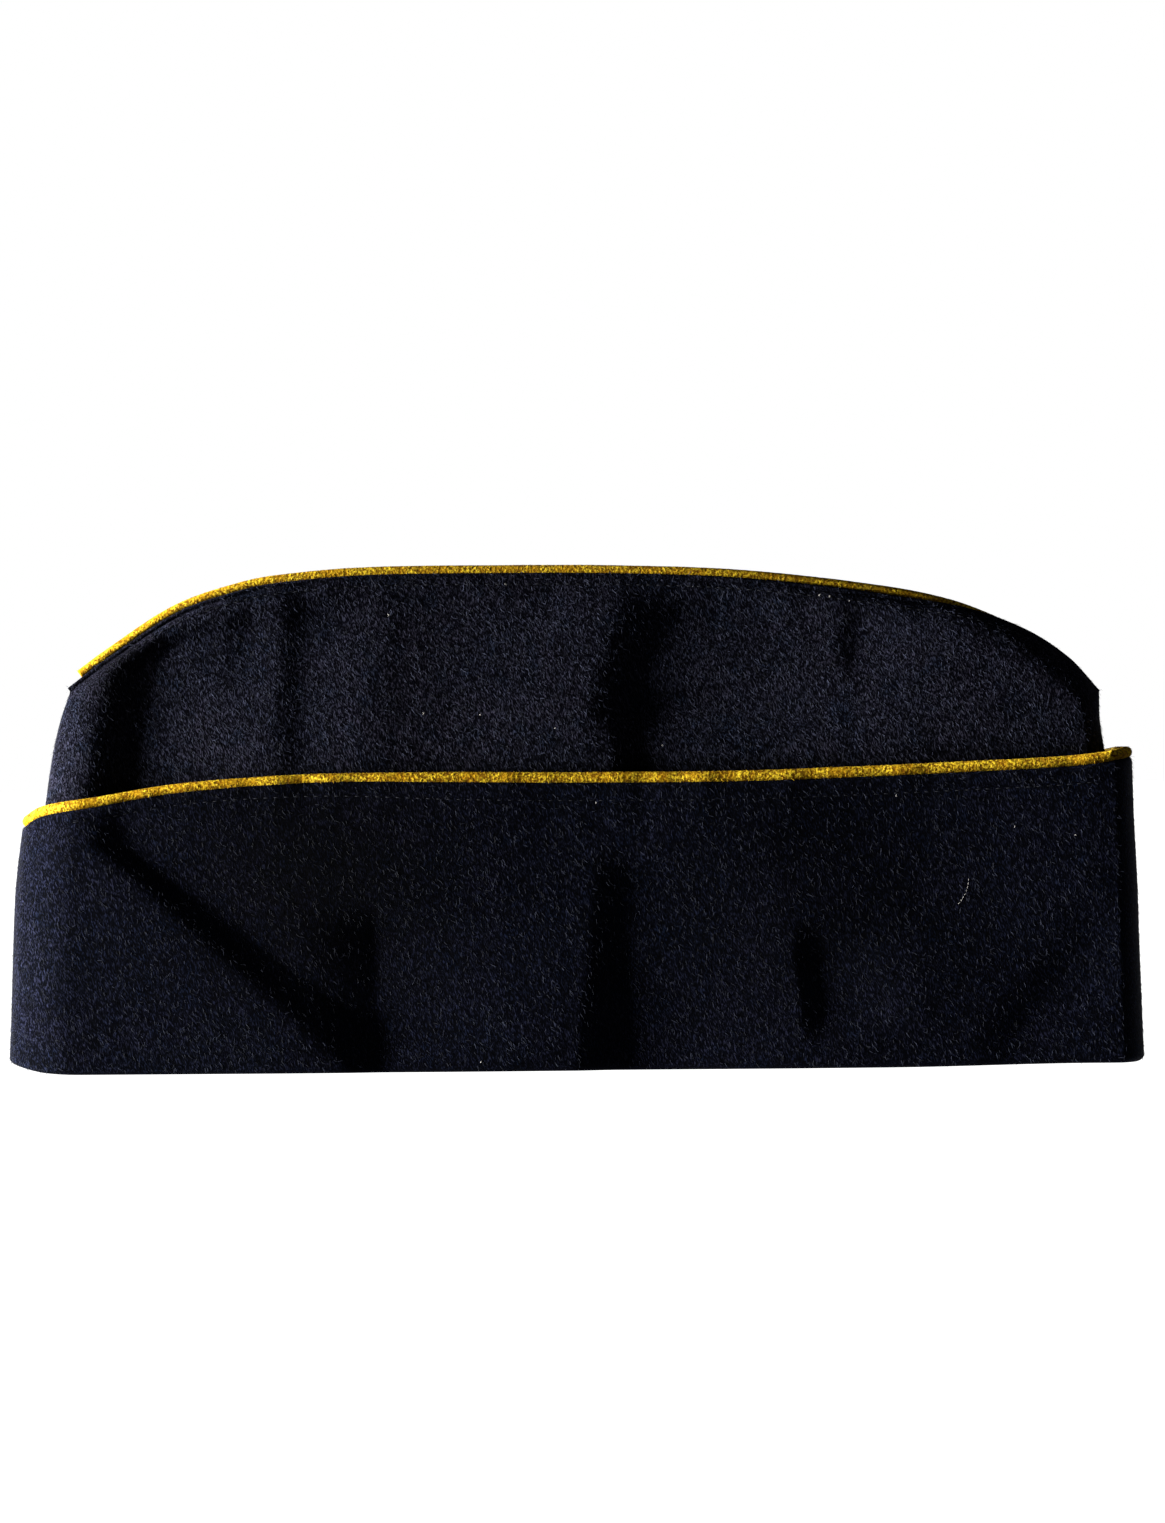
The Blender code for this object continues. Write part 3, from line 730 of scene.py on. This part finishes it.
# %% [markdown]
# The two crown panels meet in the ridge seam and in both end seams. Behind the curtain they can be
# coarse. Above it the rows are less than a millimetre apart, and the last few lie closer still, for the
# groove of the stitching. The panel's top edge is folded in, so its outline ends in a half circle
# against the piping.

# %% Crown panels
HIDDEN_ROWS = 10
SHOWN_ROWS = 62
STITCH_ROWS = 12
STITCH_BAND = 4.5 * MM
LIP_STEPS = 8
SEAT_STEPS = 3
INNER_ROWS = 26
HIDDEN_MARGIN = 5 * MM
RIDGE_RUNOUT = 0.08
PINCH_DEPTH = 0.8 * MM
PINCH_REACH = 3 * MM
# Painted shade on the crown: under the ridge seam, just above the curtain's edge, and in one spot at its
# front.
RIDGE_PAINTED_SHADE = 0.1
SHADE_ABOVE_CURTAIN = 0.8
PAINTED_SHADE_REACH = 2.6 * MM
# Columns: X, Z of the middle, reach along X and Z (millimetres), how much painted shade there is.
CROWN_SHADE_SPOTS = ((-112, 98, 8, 11, 0.7),)
CROWN_BOTTOM = CURTAIN_CLOTH
RIDGE_STITCH_DROP = 1.7 * MM


@cache
def curtain_line(share):
    """Height of the curtain piping's centre."""
    return CURTAIN_HEIGHT * read_table(CURTAIN_LINE, 1, share)


def even_rows(start, end, count):
    return [start + (end - start) * row / count for row in range(count)]


def crown_rows(share, top_z):
    """Shares of the crown's height, coarse behind the curtain and fine above it."""
    shown = (curtain_line(share) - HIDDEN_MARGIN) / top_z
    band = 1 - STITCH_BAND / top_z
    rows = even_rows(CROWN_BOTTOM / top_z, shown, HIDDEN_ROWS)
    return rows + even_rows(shown, band, SHOWN_ROWS) + even_rows(band, 1.0, STITCH_ROWS) + [1.0]


def crown_relief(share, side, top_z):
    edge = curtain_line(share)

    def relief(x, z):
        below = top_z - z
        eased = smooth_step(below / (RIDGE_RUNOUT * top_z))
        depth = fold_depth(x, z, side, CROWN_FOLDS) + fold_depth(x, z, side, CURTAIN_FOLDS)
        pinch = PINCH_DEPTH * math.exp(-max(z - edge, 0.0) / PINCH_REACH)
        depth = (depth + pinch) * eased + unevenness(x, z, side)
        return depth + seam_relief(x, below, side, RIDGE_STITCH_DROP, RIDGE_GROOVE)

    return relief


def crown_outer_point(share, height_share, side):
    top = lip_point(share, side)
    lip = LIP_RADIUS * math.sin(lip_angle(share, side)) - SEAM_HALF_WIDTH
    blunt = SEAM_HALF_WIDTH + lip * smooth_step((height_share - 1 + RIDGE_ROUNDING) / RIDGE_ROUNDING)
    outset = (0.0, blunt - SEAM_HALF_WIDTH, 0.0)
    return body_point(share, height_share, side, top, outset, blunt, crown_relief(share, side, top.z))


def crown_inner_point(share, height_share, side, top):
    outset = (-CROWN_CLOTH, -CROWN_CLOTH, -CROWN_CLOTH)
    return body_point(share, height_share, side, top, outset, 0.0, crown_relief(share, side, top.z))


def lip_arc(share, side):
    """Half circle from the outer face to the piping, where the cloth is turned in."""
    start = lip_angle(share, side)
    middle = (LIP_RADIUS + RIDGE_PIPING_RADIUS) / 2
    half = (LIP_RADIUS - RIDGE_PIPING_RADIUS) / 2
    points = []
    for step in range(1, LIP_STEPS + 1):
        turn = math.pi * step / LIP_STEPS
        radius = middle + half * math.cos(turn)
        points.append(around_piping(share, side, radius, start + half * math.sin(turn) / middle))
    return points


def crown_outline(share, side):
    start = lip_angle(share, side)
    seat_foot = around_piping(share, side, RIDGE_PIPING_RADIUS, 0.0)
    outline = [crown_outer_point(share, row, side) for row in crown_rows(share, lip_point(share, side).z)]
    outline += lip_arc(share, side)
    for step in range(1, SEAT_STEPS):
        angle = start * (1 - step / SEAT_STEPS)
        outline.append(around_piping(share, side, RIDGE_PIPING_RADIUS, angle))
    inner_rows = even_rows(CROWN_BOTTOM / seat_foot.z, 1.0, INNER_ROWS) + [1.0]
    outline += [crown_inner_point(share, row, side, seat_foot) for row in reversed(inner_rows)]
    return outline


def painted_shade_in_spots(point, spots):
    """Sum of soft spots. Each fades like a bell round its middle."""
    total = 0.0
    for x, z, reach_x, reach_z, amount in spots:
        distance = Vector(((point.x / MM - x) / reach_x, (point.z / MM - z) / reach_z)).length
        total += amount * math.exp(-distance * distance)
    return total


def crown_painted_shade(point):
    """Painted shade under the ridge seam, just above the curtain's edge and in a spot at the front."""
    share = (point.x - RIDGE_FRONT) / (RIDGE_BACK - RIDGE_FRONT)
    below = CAP_HEIGHT * read_table(RIDGE_LINE, 1, share) - 2 * RIDGE_PIPING_RADIUS - point.z
    above = point.z - CURTAIN_HEIGHT * read_table(CURTAIN_LINE, 1, share) - CURTAIN_PIPING_RADIUS
    painted_shade = RIDGE_PAINTED_SHADE * math.exp(-max(below, 0.0) / PAINTED_SHADE_REACH)
    painted_shade += SHADE_ABOVE_CURTAIN * math.exp(-max(above, 0.0) / PAINTED_SHADE_REACH)
    return painted_shade + painted_shade_in_spots(point, CROWN_SHADE_SPOTS)


crown_left = make_panel("melton_crown_left", LEFT, crown_outline, melton, crown_painted_shade)
crown_right = make_panel("melton_crown_right", RIGHT, crown_outline, melton, crown_painted_shade)

# %% [markdown]
# The curtain is the turned-up band round the cap. It is two layers of cloth, folded at the bottom and
# sewn at the top round the piping, and it stands a little away from the crown. Its outline goes down the
# outer face, round the soft bottom edge, under the crown, up the inner face and over the round top edge
# that the piping sits on.

# %% Curtain panels
OUTER_ROWS = 84
CURTAIN_STITCH_DROP = 4.6 * MM
FRONT_STITCH_DROP = 2.6 * MM
ALLOWANCE = 0.22 * MM
RIM_STEPS = 6
SHOULDER_STEPS = 5
FRONT_STITCH_REACH = 0.12
PADDING_EDGE = 0.4 * MM
# Columns: place along the curtain (share), how deep the piping sits in the cloth's top edge (metres).
PIPING_SINK = (
    (0.00, 0.20 * MM), (0.05, 0.50 * MM), (0.12, 1.90 * MM), (0.28, 1.80 * MM), (0.40, 0.60 * MM),
    (0.60, 0.35 * MM), (1.00, 0.35 * MM),
)
CURTAIN_INNER_ROWS = 24
# Painted shade in two broad patches over the curtain's folds.
# Columns: X, Z of the middle, reach along X and Z (millimetres), how much painted shade there is.
CURTAIN_SHADE_SPOTS = (
    (-62, 48, 36, 34, 0.78),
    (60, 36, 44, 34, 0.38),
)
RIM_LIFT_FADE = 14 * MM
# Columns: place along the cap (share), lift of the rim off the table (metres).
RIM_LIFT = (
    (0.000, 2.4 * MM), (0.012, 1.4 * MM), (0.030, 0.4 * MM), (0.060, 0.0), (0.780, 0.0), (0.930, 0.6 * MM),
    (1.000, 0.6 * MM),
)


def curtain_standoff(height_share):
    front = END_CLEARANCE + CURTAIN_STANDOFF * read_table(STANDOFF, 1, height_share)
    side = CURTAIN_STANDOFF * read_table(STANDOFF, 2, height_share)
    back = END_CLEARANCE + CURTAIN_STANDOFF * read_table(STANDOFF, 3, height_share)
    return front, side, back


@cache
def curtain_top(share):
    """Height of the cloth's top edge. The piping is sunk a little into it."""
    return curtain_line(share) - CURTAIN_PIPING_RADIUS + read_table(PIPING_SINK, 1, share)


@cache
def curtain_stitch_drop(share):
    """Distance of the stitching below the cloth's top edge, which is less at the front."""
    eased = smooth_step(share / FRONT_STITCH_REACH)
    return FRONT_STITCH_DROP + (CURTAIN_STITCH_DROP - FRONT_STITCH_DROP) * eased


def curtain_relief(share, side):
    drop = curtain_stitch_drop(share)

    def relief(x, z):
        below = curtain_top(share) - z
        padding = ALLOWANCE * smooth_step((drop - below) / PADDING_EDGE)
        depth = fold_depth(x, z, side, CURTAIN_FOLDS) + unevenness(x, z, side)
        return depth + seam_relief(x, below, side, drop, CURTAIN_GROOVE) - padding

    return relief


def curtain_point(share, z, side, depth, blunt, relief):
    """Point of the curtain at a height and at a depth behind its outer face."""
    outset = tuple(gap + CURTAIN_CLOTH - depth for gap in curtain_standoff(z / curtain_line(share)))
    top = lip_point(share, side)
    point = body_point(share, z / top.z, side, top, outset, blunt, relief)
    lift = read_table(RIM_LIFT, 1, share) * smooth_step(1 - z / RIM_LIFT_FADE)
    return Vector((point.x, point.y, z + lift))


def curtain_outline(share, side):
    relief = curtain_relief(share, side)
    top = curtain_top(share)
    shoulder = CURTAIN_CLOTH / 2
    outline = []
    for row in range(OUTER_ROWS + 1):
        z = top - shoulder + (RIM_CORNER_RADIUS - top + shoulder) * row / OUTER_ROWS
        outline.append(curtain_point(share, z, side, 0.0, SEAM_HALF_WIDTH, relief))
    for step in range(1, RIM_STEPS + 1):
        turn = math.pi / 2 * step / RIM_STEPS
        depth = RIM_CORNER_RADIUS * (1 - math.cos(turn))
        z = RIM_CORNER_RADIUS * (1 - math.sin(turn))
        outline.append(curtain_point(share, z, side, depth, SEAM_HALF_WIDTH, relief))
    under_crown = CURTAIN_CLOTH + END_CLEARANCE + CROWN_CLOTH
    for z in (0.0, CURTAIN_CLOTH):
        outline.append(curtain_point(share, z, side, under_crown, 0.0, relief))
    for row in range(CURTAIN_INNER_ROWS + 1):
        z = CURTAIN_CLOTH + (top - shoulder - CURTAIN_CLOTH) * row / CURTAIN_INNER_ROWS
        outline.append(curtain_point(share, z, side, CURTAIN_CLOTH, SEAM_HALF_WIDTH, relief))
    for step in range(1, 2 * SHOULDER_STEPS):
        turn = math.pi / 2 * step / SHOULDER_STEPS
        depth = shoulder * (1 + math.cos(turn))
        z = top - shoulder * (1 - math.sin(turn))
        outline.append(curtain_point(share, z, side, depth, SEAM_HALF_WIDTH, relief))
    return outline


def curtain_painted_shade(point):
    """Painted shade in two broad patches over the curtain's folds."""
    return painted_shade_in_spots(point, CURTAIN_SHADE_SPOTS)


# The curtain wears the darker copy of the melton, as painted shade.
curtain_left = make_panel("melton_curtain_left", LEFT, curtain_outline, shaded_melton, curtain_painted_shade)
curtain_right = make_panel("melton_curtain_right", RIGHT, curtain_outline, shaded_melton, curtain_painted_shade)

# %% [markdown]
# A piping is a round cord along a seam. A curve with a bevel would do, but felt over cord is never quite
# round, so this is another grid, wrapped round the route, whose radius a noise makes lumpy. The same
# noise, read at three places far apart, lets the cord sway a little to each side.

# %% Pipings
PIPING_SIDES = 16
PIPING_STEP = 0.35 * MM
FELT_BUMP = 0.05 * MM
FELT_BUMP_SPACING = 0.7 * MM
CORD_SWAY = 0.05 * MM
CORD_SWAY_SPACING = 9 * MM
SWAY_SHIFTS = (Vector((0, 0, 0)), Vector((30.5, 0, 0)), Vector((0, 0, 30.5)))
PIPING_TUCK = 3.5 * MM


def even_route(route, step, closed):
    """The route again, as points that are the same distance apart."""
    line = route + route[:1] if closed else route
    lengths = [(b - a).length for a, b in zip(line, line[1:])]
    count = round(sum(lengths) / step)
    points = []
    index = 0
    passed = 0.0
    for number in range(count + (0 if closed else 1)):
        wanted = sum(lengths) * number / count
        while index < len(lengths) - 1 and passed + lengths[index] < wanted:
            passed += lengths[index]
            index += 1
        share = min((wanted - passed) / lengths[index], 1.0)
        points.append(line[index].lerp(line[index + 1], share))
    return points


def piping_ring(centre, along, radius):
    """One ring of a felt piping round a point of its route."""
    side = along.cross(Vector((0, 0, 1))).normalized()
    up = side.cross(along)
    sway = Vector([noise.noise(centre / CORD_SWAY_SPACING + shift) for shift in SWAY_SHIFTS])
    ring = []
    for number in range(PIPING_SIDES):
        angle = 2 * math.pi * number / PIPING_SIDES
        out = side * math.cos(angle) + up * math.sin(angle)
        lump = noise.noise((centre + out * radius) / FELT_BUMP_SPACING)
        ring.append(centre + CORD_SWAY * sway + out * (radius + FELT_BUMP * lump))
    return ring


def make_piping(name, route, radius, closed):
    points = even_route(route, PIPING_STEP, closed)
    count = len(points)
    rings = []
    for number, centre in enumerate(points):
        before = points[number - 1] if closed or number else centre
        after = points[(number + 1) % count] if closed or number < count - 1 else centre
        rings.append(piping_ring(centre, (after - before).normalized(), radius))
    if closed:
        rings.append(rings[0])
    return loft(name, rings, felt, closed_ends=not closed)


def ridge_route():
    tuck = PIPING_TUCK / (RIDGE_BACK - RIDGE_FRONT)
    return [ridge_frame(tuck + (1 - 2 * tuck) * share)[0] for share in station_shares()]


def curtain_route_point(share, side):
    relief = curtain_relief(share, side)
    return curtain_point(share, curtain_line(share), side, CURTAIN_CLOTH / 2, SEAM_HALF_WIDTH, relief)


ridge_piping = make_piping("felt_ridge_piping", ridge_route(), RIDGE_PIPING_RADIUS, False)
curtain_loop = [curtain_route_point(share, LEFT) for share in station_shares()]
curtain_loop += [curtain_route_point(share, RIGHT) for share in reversed(station_shares())]
curtain_piping = make_piping("felt_curtain_piping", curtain_loop, CURTAIN_PIPING_RADIUS, True)

# %% [markdown]
# A line of topstitching runs under the ridge and under the curtain's edge. Each stitch is a small sphere
# that a matrix stretches and turns along the seam, and it lies in the groove that the relief pressed. All
# stitches of a panel are one piece. Each takes two and a half millimetres of the seam, with its gap.

# %% Topstitching
STITCH_LENGTH = 2.5 * MM
STITCH_GAP = 0.6 * MM
STITCH_RADIUS = 0.15 * MM
STITCH_SEGMENTS = 6
STITCH_INSET = 0.04


def add_stitch(bm, start, end, radius):
    """A stitch between two points, as a sphere that is stretched to reach them both."""
    along = end - start
    turn = along.to_track_quat("X", "Z").to_matrix().to_4x4()
    stretch = Matrix.Diagonal((along.length / 2, radius, radius, 1.0))
    matrix = Matrix.Translation((start + end) / 2) @ turn @ stretch
    bmesh.ops.create_uvsphere(
        bm, u_segments=STITCH_SEGMENTS, v_segments=STITCH_SEGMENTS, radius=1.0, matrix=matrix
    )


def make_stitches(name, seam_point, side):
    """Stitches along a seam of one side. seam_point(share, side) gives the seam's place there."""
    shares = [STITCH_INSET + (1 - 2 * STITCH_INSET) * step / STATIONS for step in range(STATIONS + 1)]
    line = even_route([seam_point(share, side) for share in shares], STITCH_LENGTH, False)
    bm = bmesh.new()
    for start, end in zip(line, line[1:]):
        shortened = STITCH_GAP / 2 / (end - start).length
        add_stitch(bm, start.lerp(end, shortened), end.lerp(start, shortened), STITCH_RADIUS)
    return finish_piece(name, bm, thread)


def ridge_seam(share, side):
    return crown_outer_point(share, 1 - RIDGE_STITCH_DROP / lip_point(share, side).z, side)


def curtain_seam(share, side):
    z = curtain_top(share) - curtain_stitch_drop(share)
    return curtain_point(share, z, side, 0.0, SEAM_HALF_WIDTH, curtain_relief(share, side))


stitches = {
    "crown_left": make_stitches("stitches_crown_left", ridge_seam, LEFT),
    "crown_right": make_stitches("stitches_crown_right", ridge_seam, RIGHT),
    "curtain_left": make_stitches("stitches_curtain_left", curtain_seam, LEFT),
    "curtain_right": make_stitches("stitches_curtain_right", curtain_seam, RIGHT),
}

# %% [markdown]
# Wool is never smooth at its edge. Thousands of loose fibres stand off it, and they soften the outline
# and sparkle in the folds. A grid makes them all at once: every second column of its faces is deleted,
# and each strip that stays is a fibre, two faces long. The fibres start at random faces of the cloth,
# lie along its nap and roll a little, so that only some catch the light. They too are drawn coarser and
# fewer than the real ones, because those would be far thinner than a pixel.

# %% Loose fibres
FIBRES_ON_PANEL = 22000
FIBRES_ON_RIDGE = 2500
FIBRES_ON_EDGE = 6000
FIBRE_WIDTH = 0.11 * MM
FIBRE_TAPER = 1 / 3
NAVY_LENGTH = 1.5 * MM
YELLOW_LENGTH = 0.7 * MM
SHORTEST = 0.5
LONGEST = 1.1
FIBRE_ROOT = 0.05 * MM
FIBRE_LIFT = 0.35
FIBRE_ROLL = 0.8
FIBRE_SPREAD = 0.45
CURL = 0.35
OUTWARD_LEAST = 0.15
NAP_DIRECTION = Vector((math.sin(-NAP_TILT), 0, -math.cos(NAP_TILT)))


def is_outer(face):
    """True for a face that looks away from the middle of the cap."""
    across = math.copysign(face.normal.y, face.normal.y * face.center.y)
    along = face.normal.x * face.center.x / (CAP_LENGTH / 2)
    return across + along > OUTWARD_LEAST


def fibre_points(chance, face, length):
    """Three points of a fibre that starts on a face, and its sideways direction."""
    normal = face.normal
    nap = NAP_DIRECTION + Vector([chance.gauss(0, FIBRE_SPREAD) for axis in range(3)])
    nap = (nap - normal * nap.dot(normal)).normalized()
    lift = FIBRE_LIFT * chance.random()
    bend = Vector([chance.uniform(-CURL, CURL) for axis in range(3)])
    half = length * chance.uniform(SHORTEST, LONGEST) / 2
    root = face.center + nap * length * chance.uniform(-0.5, 0.5) - normal * FIBRE_ROOT
    middle = root + (nap + normal * lift).normalized() * half
    tip = middle + (nap + normal * lift + bend).normalized() * half
    roll = chance.uniform(-FIBRE_ROLL, FIBRE_ROLL)
    return (root, middle, tip), normal.cross(nap) * math.cos(roll) + normal * math.sin(roll)


def make_fuzz(name, seed, cloth, count, length, material, keep):
    """Loose fibres all over a piece, on the faces for which keep is true."""
    chance = random.Random(seed)
    faces = [face for face in cloth.data.polygons if keep(face)]
    chosen = chance.choices(faces, weights=[face.area for face in faces], k=count)
    fibres = [fibre_points(chance, face, length) for face in chosen]
    columns = 2 * count - 1
    bm = bmesh.new()
    bmesh.ops.create_grid(bm, x_segments=columns, y_segments=2, size=0.5)
    middles = {face: (face.calc_center_median().x + 0.5) * columns for face in bm.faces}
    gaps = [face for face, middle in middles.items() if math.floor(middle) % 2]
    bmesh.ops.delete(bm, geom=gaps, context="FACES")
    for vert in bm.verts:
        column = round((vert.co.x + 0.5) * columns)
        row = round((vert.co.y + 0.5) * 2)
        points, sideways = fibres[column // 2]
        half_width = FIBRE_WIDTH / 2 * (1 - FIBRE_TAPER * row)
        vert.co = points[row] + sideways * (half_width if column % 2 else -half_width)
    return finish_piece(name, bm, material)


def above_table(face):
    return is_outer(face) and face.center.z > NAVY_LENGTH


def above_curtain(face):
    share = (face.center.x - RIDGE_FRONT) / (RIDGE_BACK - RIDGE_FRONT)
    return is_outer(face) and face.center.z > curtain_line(share)


def all_round(face):
    """The pipings are fuzzy on all sides."""
    return True


# Columns: node, seed, piece, number of fibres, their length and material, the faces that bear them.
FUZZY = (
    ("crown_left", 0, crown_left, FIBRES_ON_PANEL, NAVY_LENGTH, crown_fibres, above_curtain),
    ("crown_right", 1, crown_right, FIBRES_ON_PANEL, NAVY_LENGTH, crown_fibres, above_curtain),
    ("curtain_left", 2, curtain_left, FIBRES_ON_PANEL, NAVY_LENGTH, shaded_curtain_fibres, above_table),
    ("curtain_right", 3, curtain_right, FIBRES_ON_PANEL, NAVY_LENGTH, shaded_curtain_fibres, above_table),
    ("ridge_piping", 5, ridge_piping, FIBRES_ON_RIDGE, YELLOW_LENGTH, yellow_fibres, all_round),
    ("curtain_piping", 6, curtain_piping, FIBRES_ON_EDGE, YELLOW_LENGTH, yellow_fibres, all_round),
)
fuzz = {node: make_fuzz("fuzz_" + node, *row) for node, *row in FUZZY}
# The loose fibres of the panels carry the same painted shade as the cloth under them.
for node in ("crown_left", "crown_right"):
    mark_painted_shade(fuzz[node], crown_painted_shade)
for node in ("curtain_left", "curtain_right"):
    mark_painted_shade(fuzz[node], curtain_painted_shade)

# %% [markdown]
# Dark wool collects lint. Each speck is a tuft of a few short pale strands, and one long hair lies curled
# on the curtain. Two small tacks of thread hold the front seam. A ray from the side finds the place
# on the cloth for each of them.

# %% Lint and tacks
SPECK_LENGTH = 0.8 * MM
SPECK_STRANDS = 4
LINT_RADIUS = 0.06 * MM
HAIR_RADIUS = 0.045 * MM
TACK_RADIUS = 0.16 * MM
CURL_STEPS = 8
LINT_SEED = 7
SPECK_DEPTH = (-0.4, 0.1)
# Columns: X, Z (millimetres).
SPECKS = (
    (61.5, 117), (64, 116.5), (69, 115.5), (-23, 88), (-37, 88.5), (-4.5, 84.5), (5.5, 66), (22, 80),
    (79.5, 67), (108.5, 59), (123.5, 57), (-45.5, 113), (-16.5, 120.5), (-23.5, 2.5),
)
# X, Z of the middle, radius of the curl (millimetres), first and last turn (degrees).
HAIR = (88, 46.5, 9, -45, 0)
TACKS = ((-126.4, 83.8, 0.8, 20, 160), (-127.2, 76.8, 0.8, 20, 160))


def cloth_tree(panel):
    corners = [vert.co for vert in panel.data.vertices]
    return BVHTree.FromPolygons(corners, [face.vertices for face in panel.data.polygons])


left_side = [cloth_tree(panel) for panel in (crown_left, curtain_left)]


def on_left_side(x, z):
    """The outermost point of the left side at a place given in millimetres."""
    start = Vector((x * MM, -CAP_LENGTH, z * MM))
    hits = [tree.ray_cast(start, Vector((0, 1, 0)))[0] for tree in left_side]
    return min((hit for hit in hits if hit), key=lambda hit: hit.y)


def add_curl(bm, x, z, radius, first, last, thickness):
    """A strand that follows an arc on the cloth."""
    points = []
    for step in range(CURL_STEPS + 1):
        turn = math.radians(first + (last - first) * step / CURL_STEPS)
        points.append(on_left_side(x + radius * math.cos(turn), z + radius * math.sin(turn)))
    for start, end in zip(points, points[1:]):
        add_stitch(bm, start, end, thickness)


chance = random.Random(LINT_SEED)
bm = bmesh.new()
for x, z in SPECKS:
    centre = on_left_side(x, z)
    for strand in range(SPECK_STRANDS):
        reach = Vector([chance.uniform(-1, 1), chance.uniform(*SPECK_DEPTH), chance.uniform(-1, 1)])
        reach *= SPECK_LENGTH / 2
        add_stitch(bm, centre - reach, centre + reach, LINT_RADIUS)
add_curl(bm, *HAIR, HAIR_RADIUS)
lint_specks = finish_piece("lint_specks", bm, lint)

bm = bmesh.new()
for tack in TACKS:
    add_curl(bm, *tack, TACK_RADIUS)
front_tacks = finish_piece("front_tacks", bm, thread)

# %% [markdown]
# Every piece rides on the one body of the frame. The plain pieces of the frame that the panels and the
# pipings stand for are hidden. The four panels are cut cloth, and their table gives the size each was cut
# to.

# %% Hand over to the frame
CROWN_CUT = (CAP_HEIGHT, CAP_LENGTH)
CROWN_CUT_AREA = 0.030
CURTAIN_CUT = (CURTAIN_HEIGHT, CAP_LENGTH)

# Columns: panel, node, size and area of its cut (metres), the piece that it rests on.
PANELS = (
    (crown_left, "crown_left", CROWN_CUT, CROWN_CUT_AREA, "melton_curtain_left"),
    (crown_right, "crown_right", CROWN_CUT, CROWN_CUT_AREA, "melton_curtain_right"),
    (curtain_left, "curtain_left", CURTAIN_CUT, None, "melton_crown_left"),
    (curtain_right, "curtain_right", CURTAIN_CUT, None, "melton_crown_right"),
)
navy_pieces = [row[0] for row in PANELS] + [*stitches.values(), *(fuzz[node] for node in stitches)]
yellow_pieces = [ridge_piping, curtain_piping, fuzz["ridge_piping"], fuzz["curtain_piping"]]
for slot, pieces in (
    ("navy_wool", navy_pieces + [lint_specks, front_tacks]),
    ("yellow_wool", yellow_pieces),
):
    for piece in pieces:
        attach(piece, "root")
for piece, node, cut, area, holder in PANELS:
    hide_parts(node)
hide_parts("ridge_piping")
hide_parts("curtain_piping")
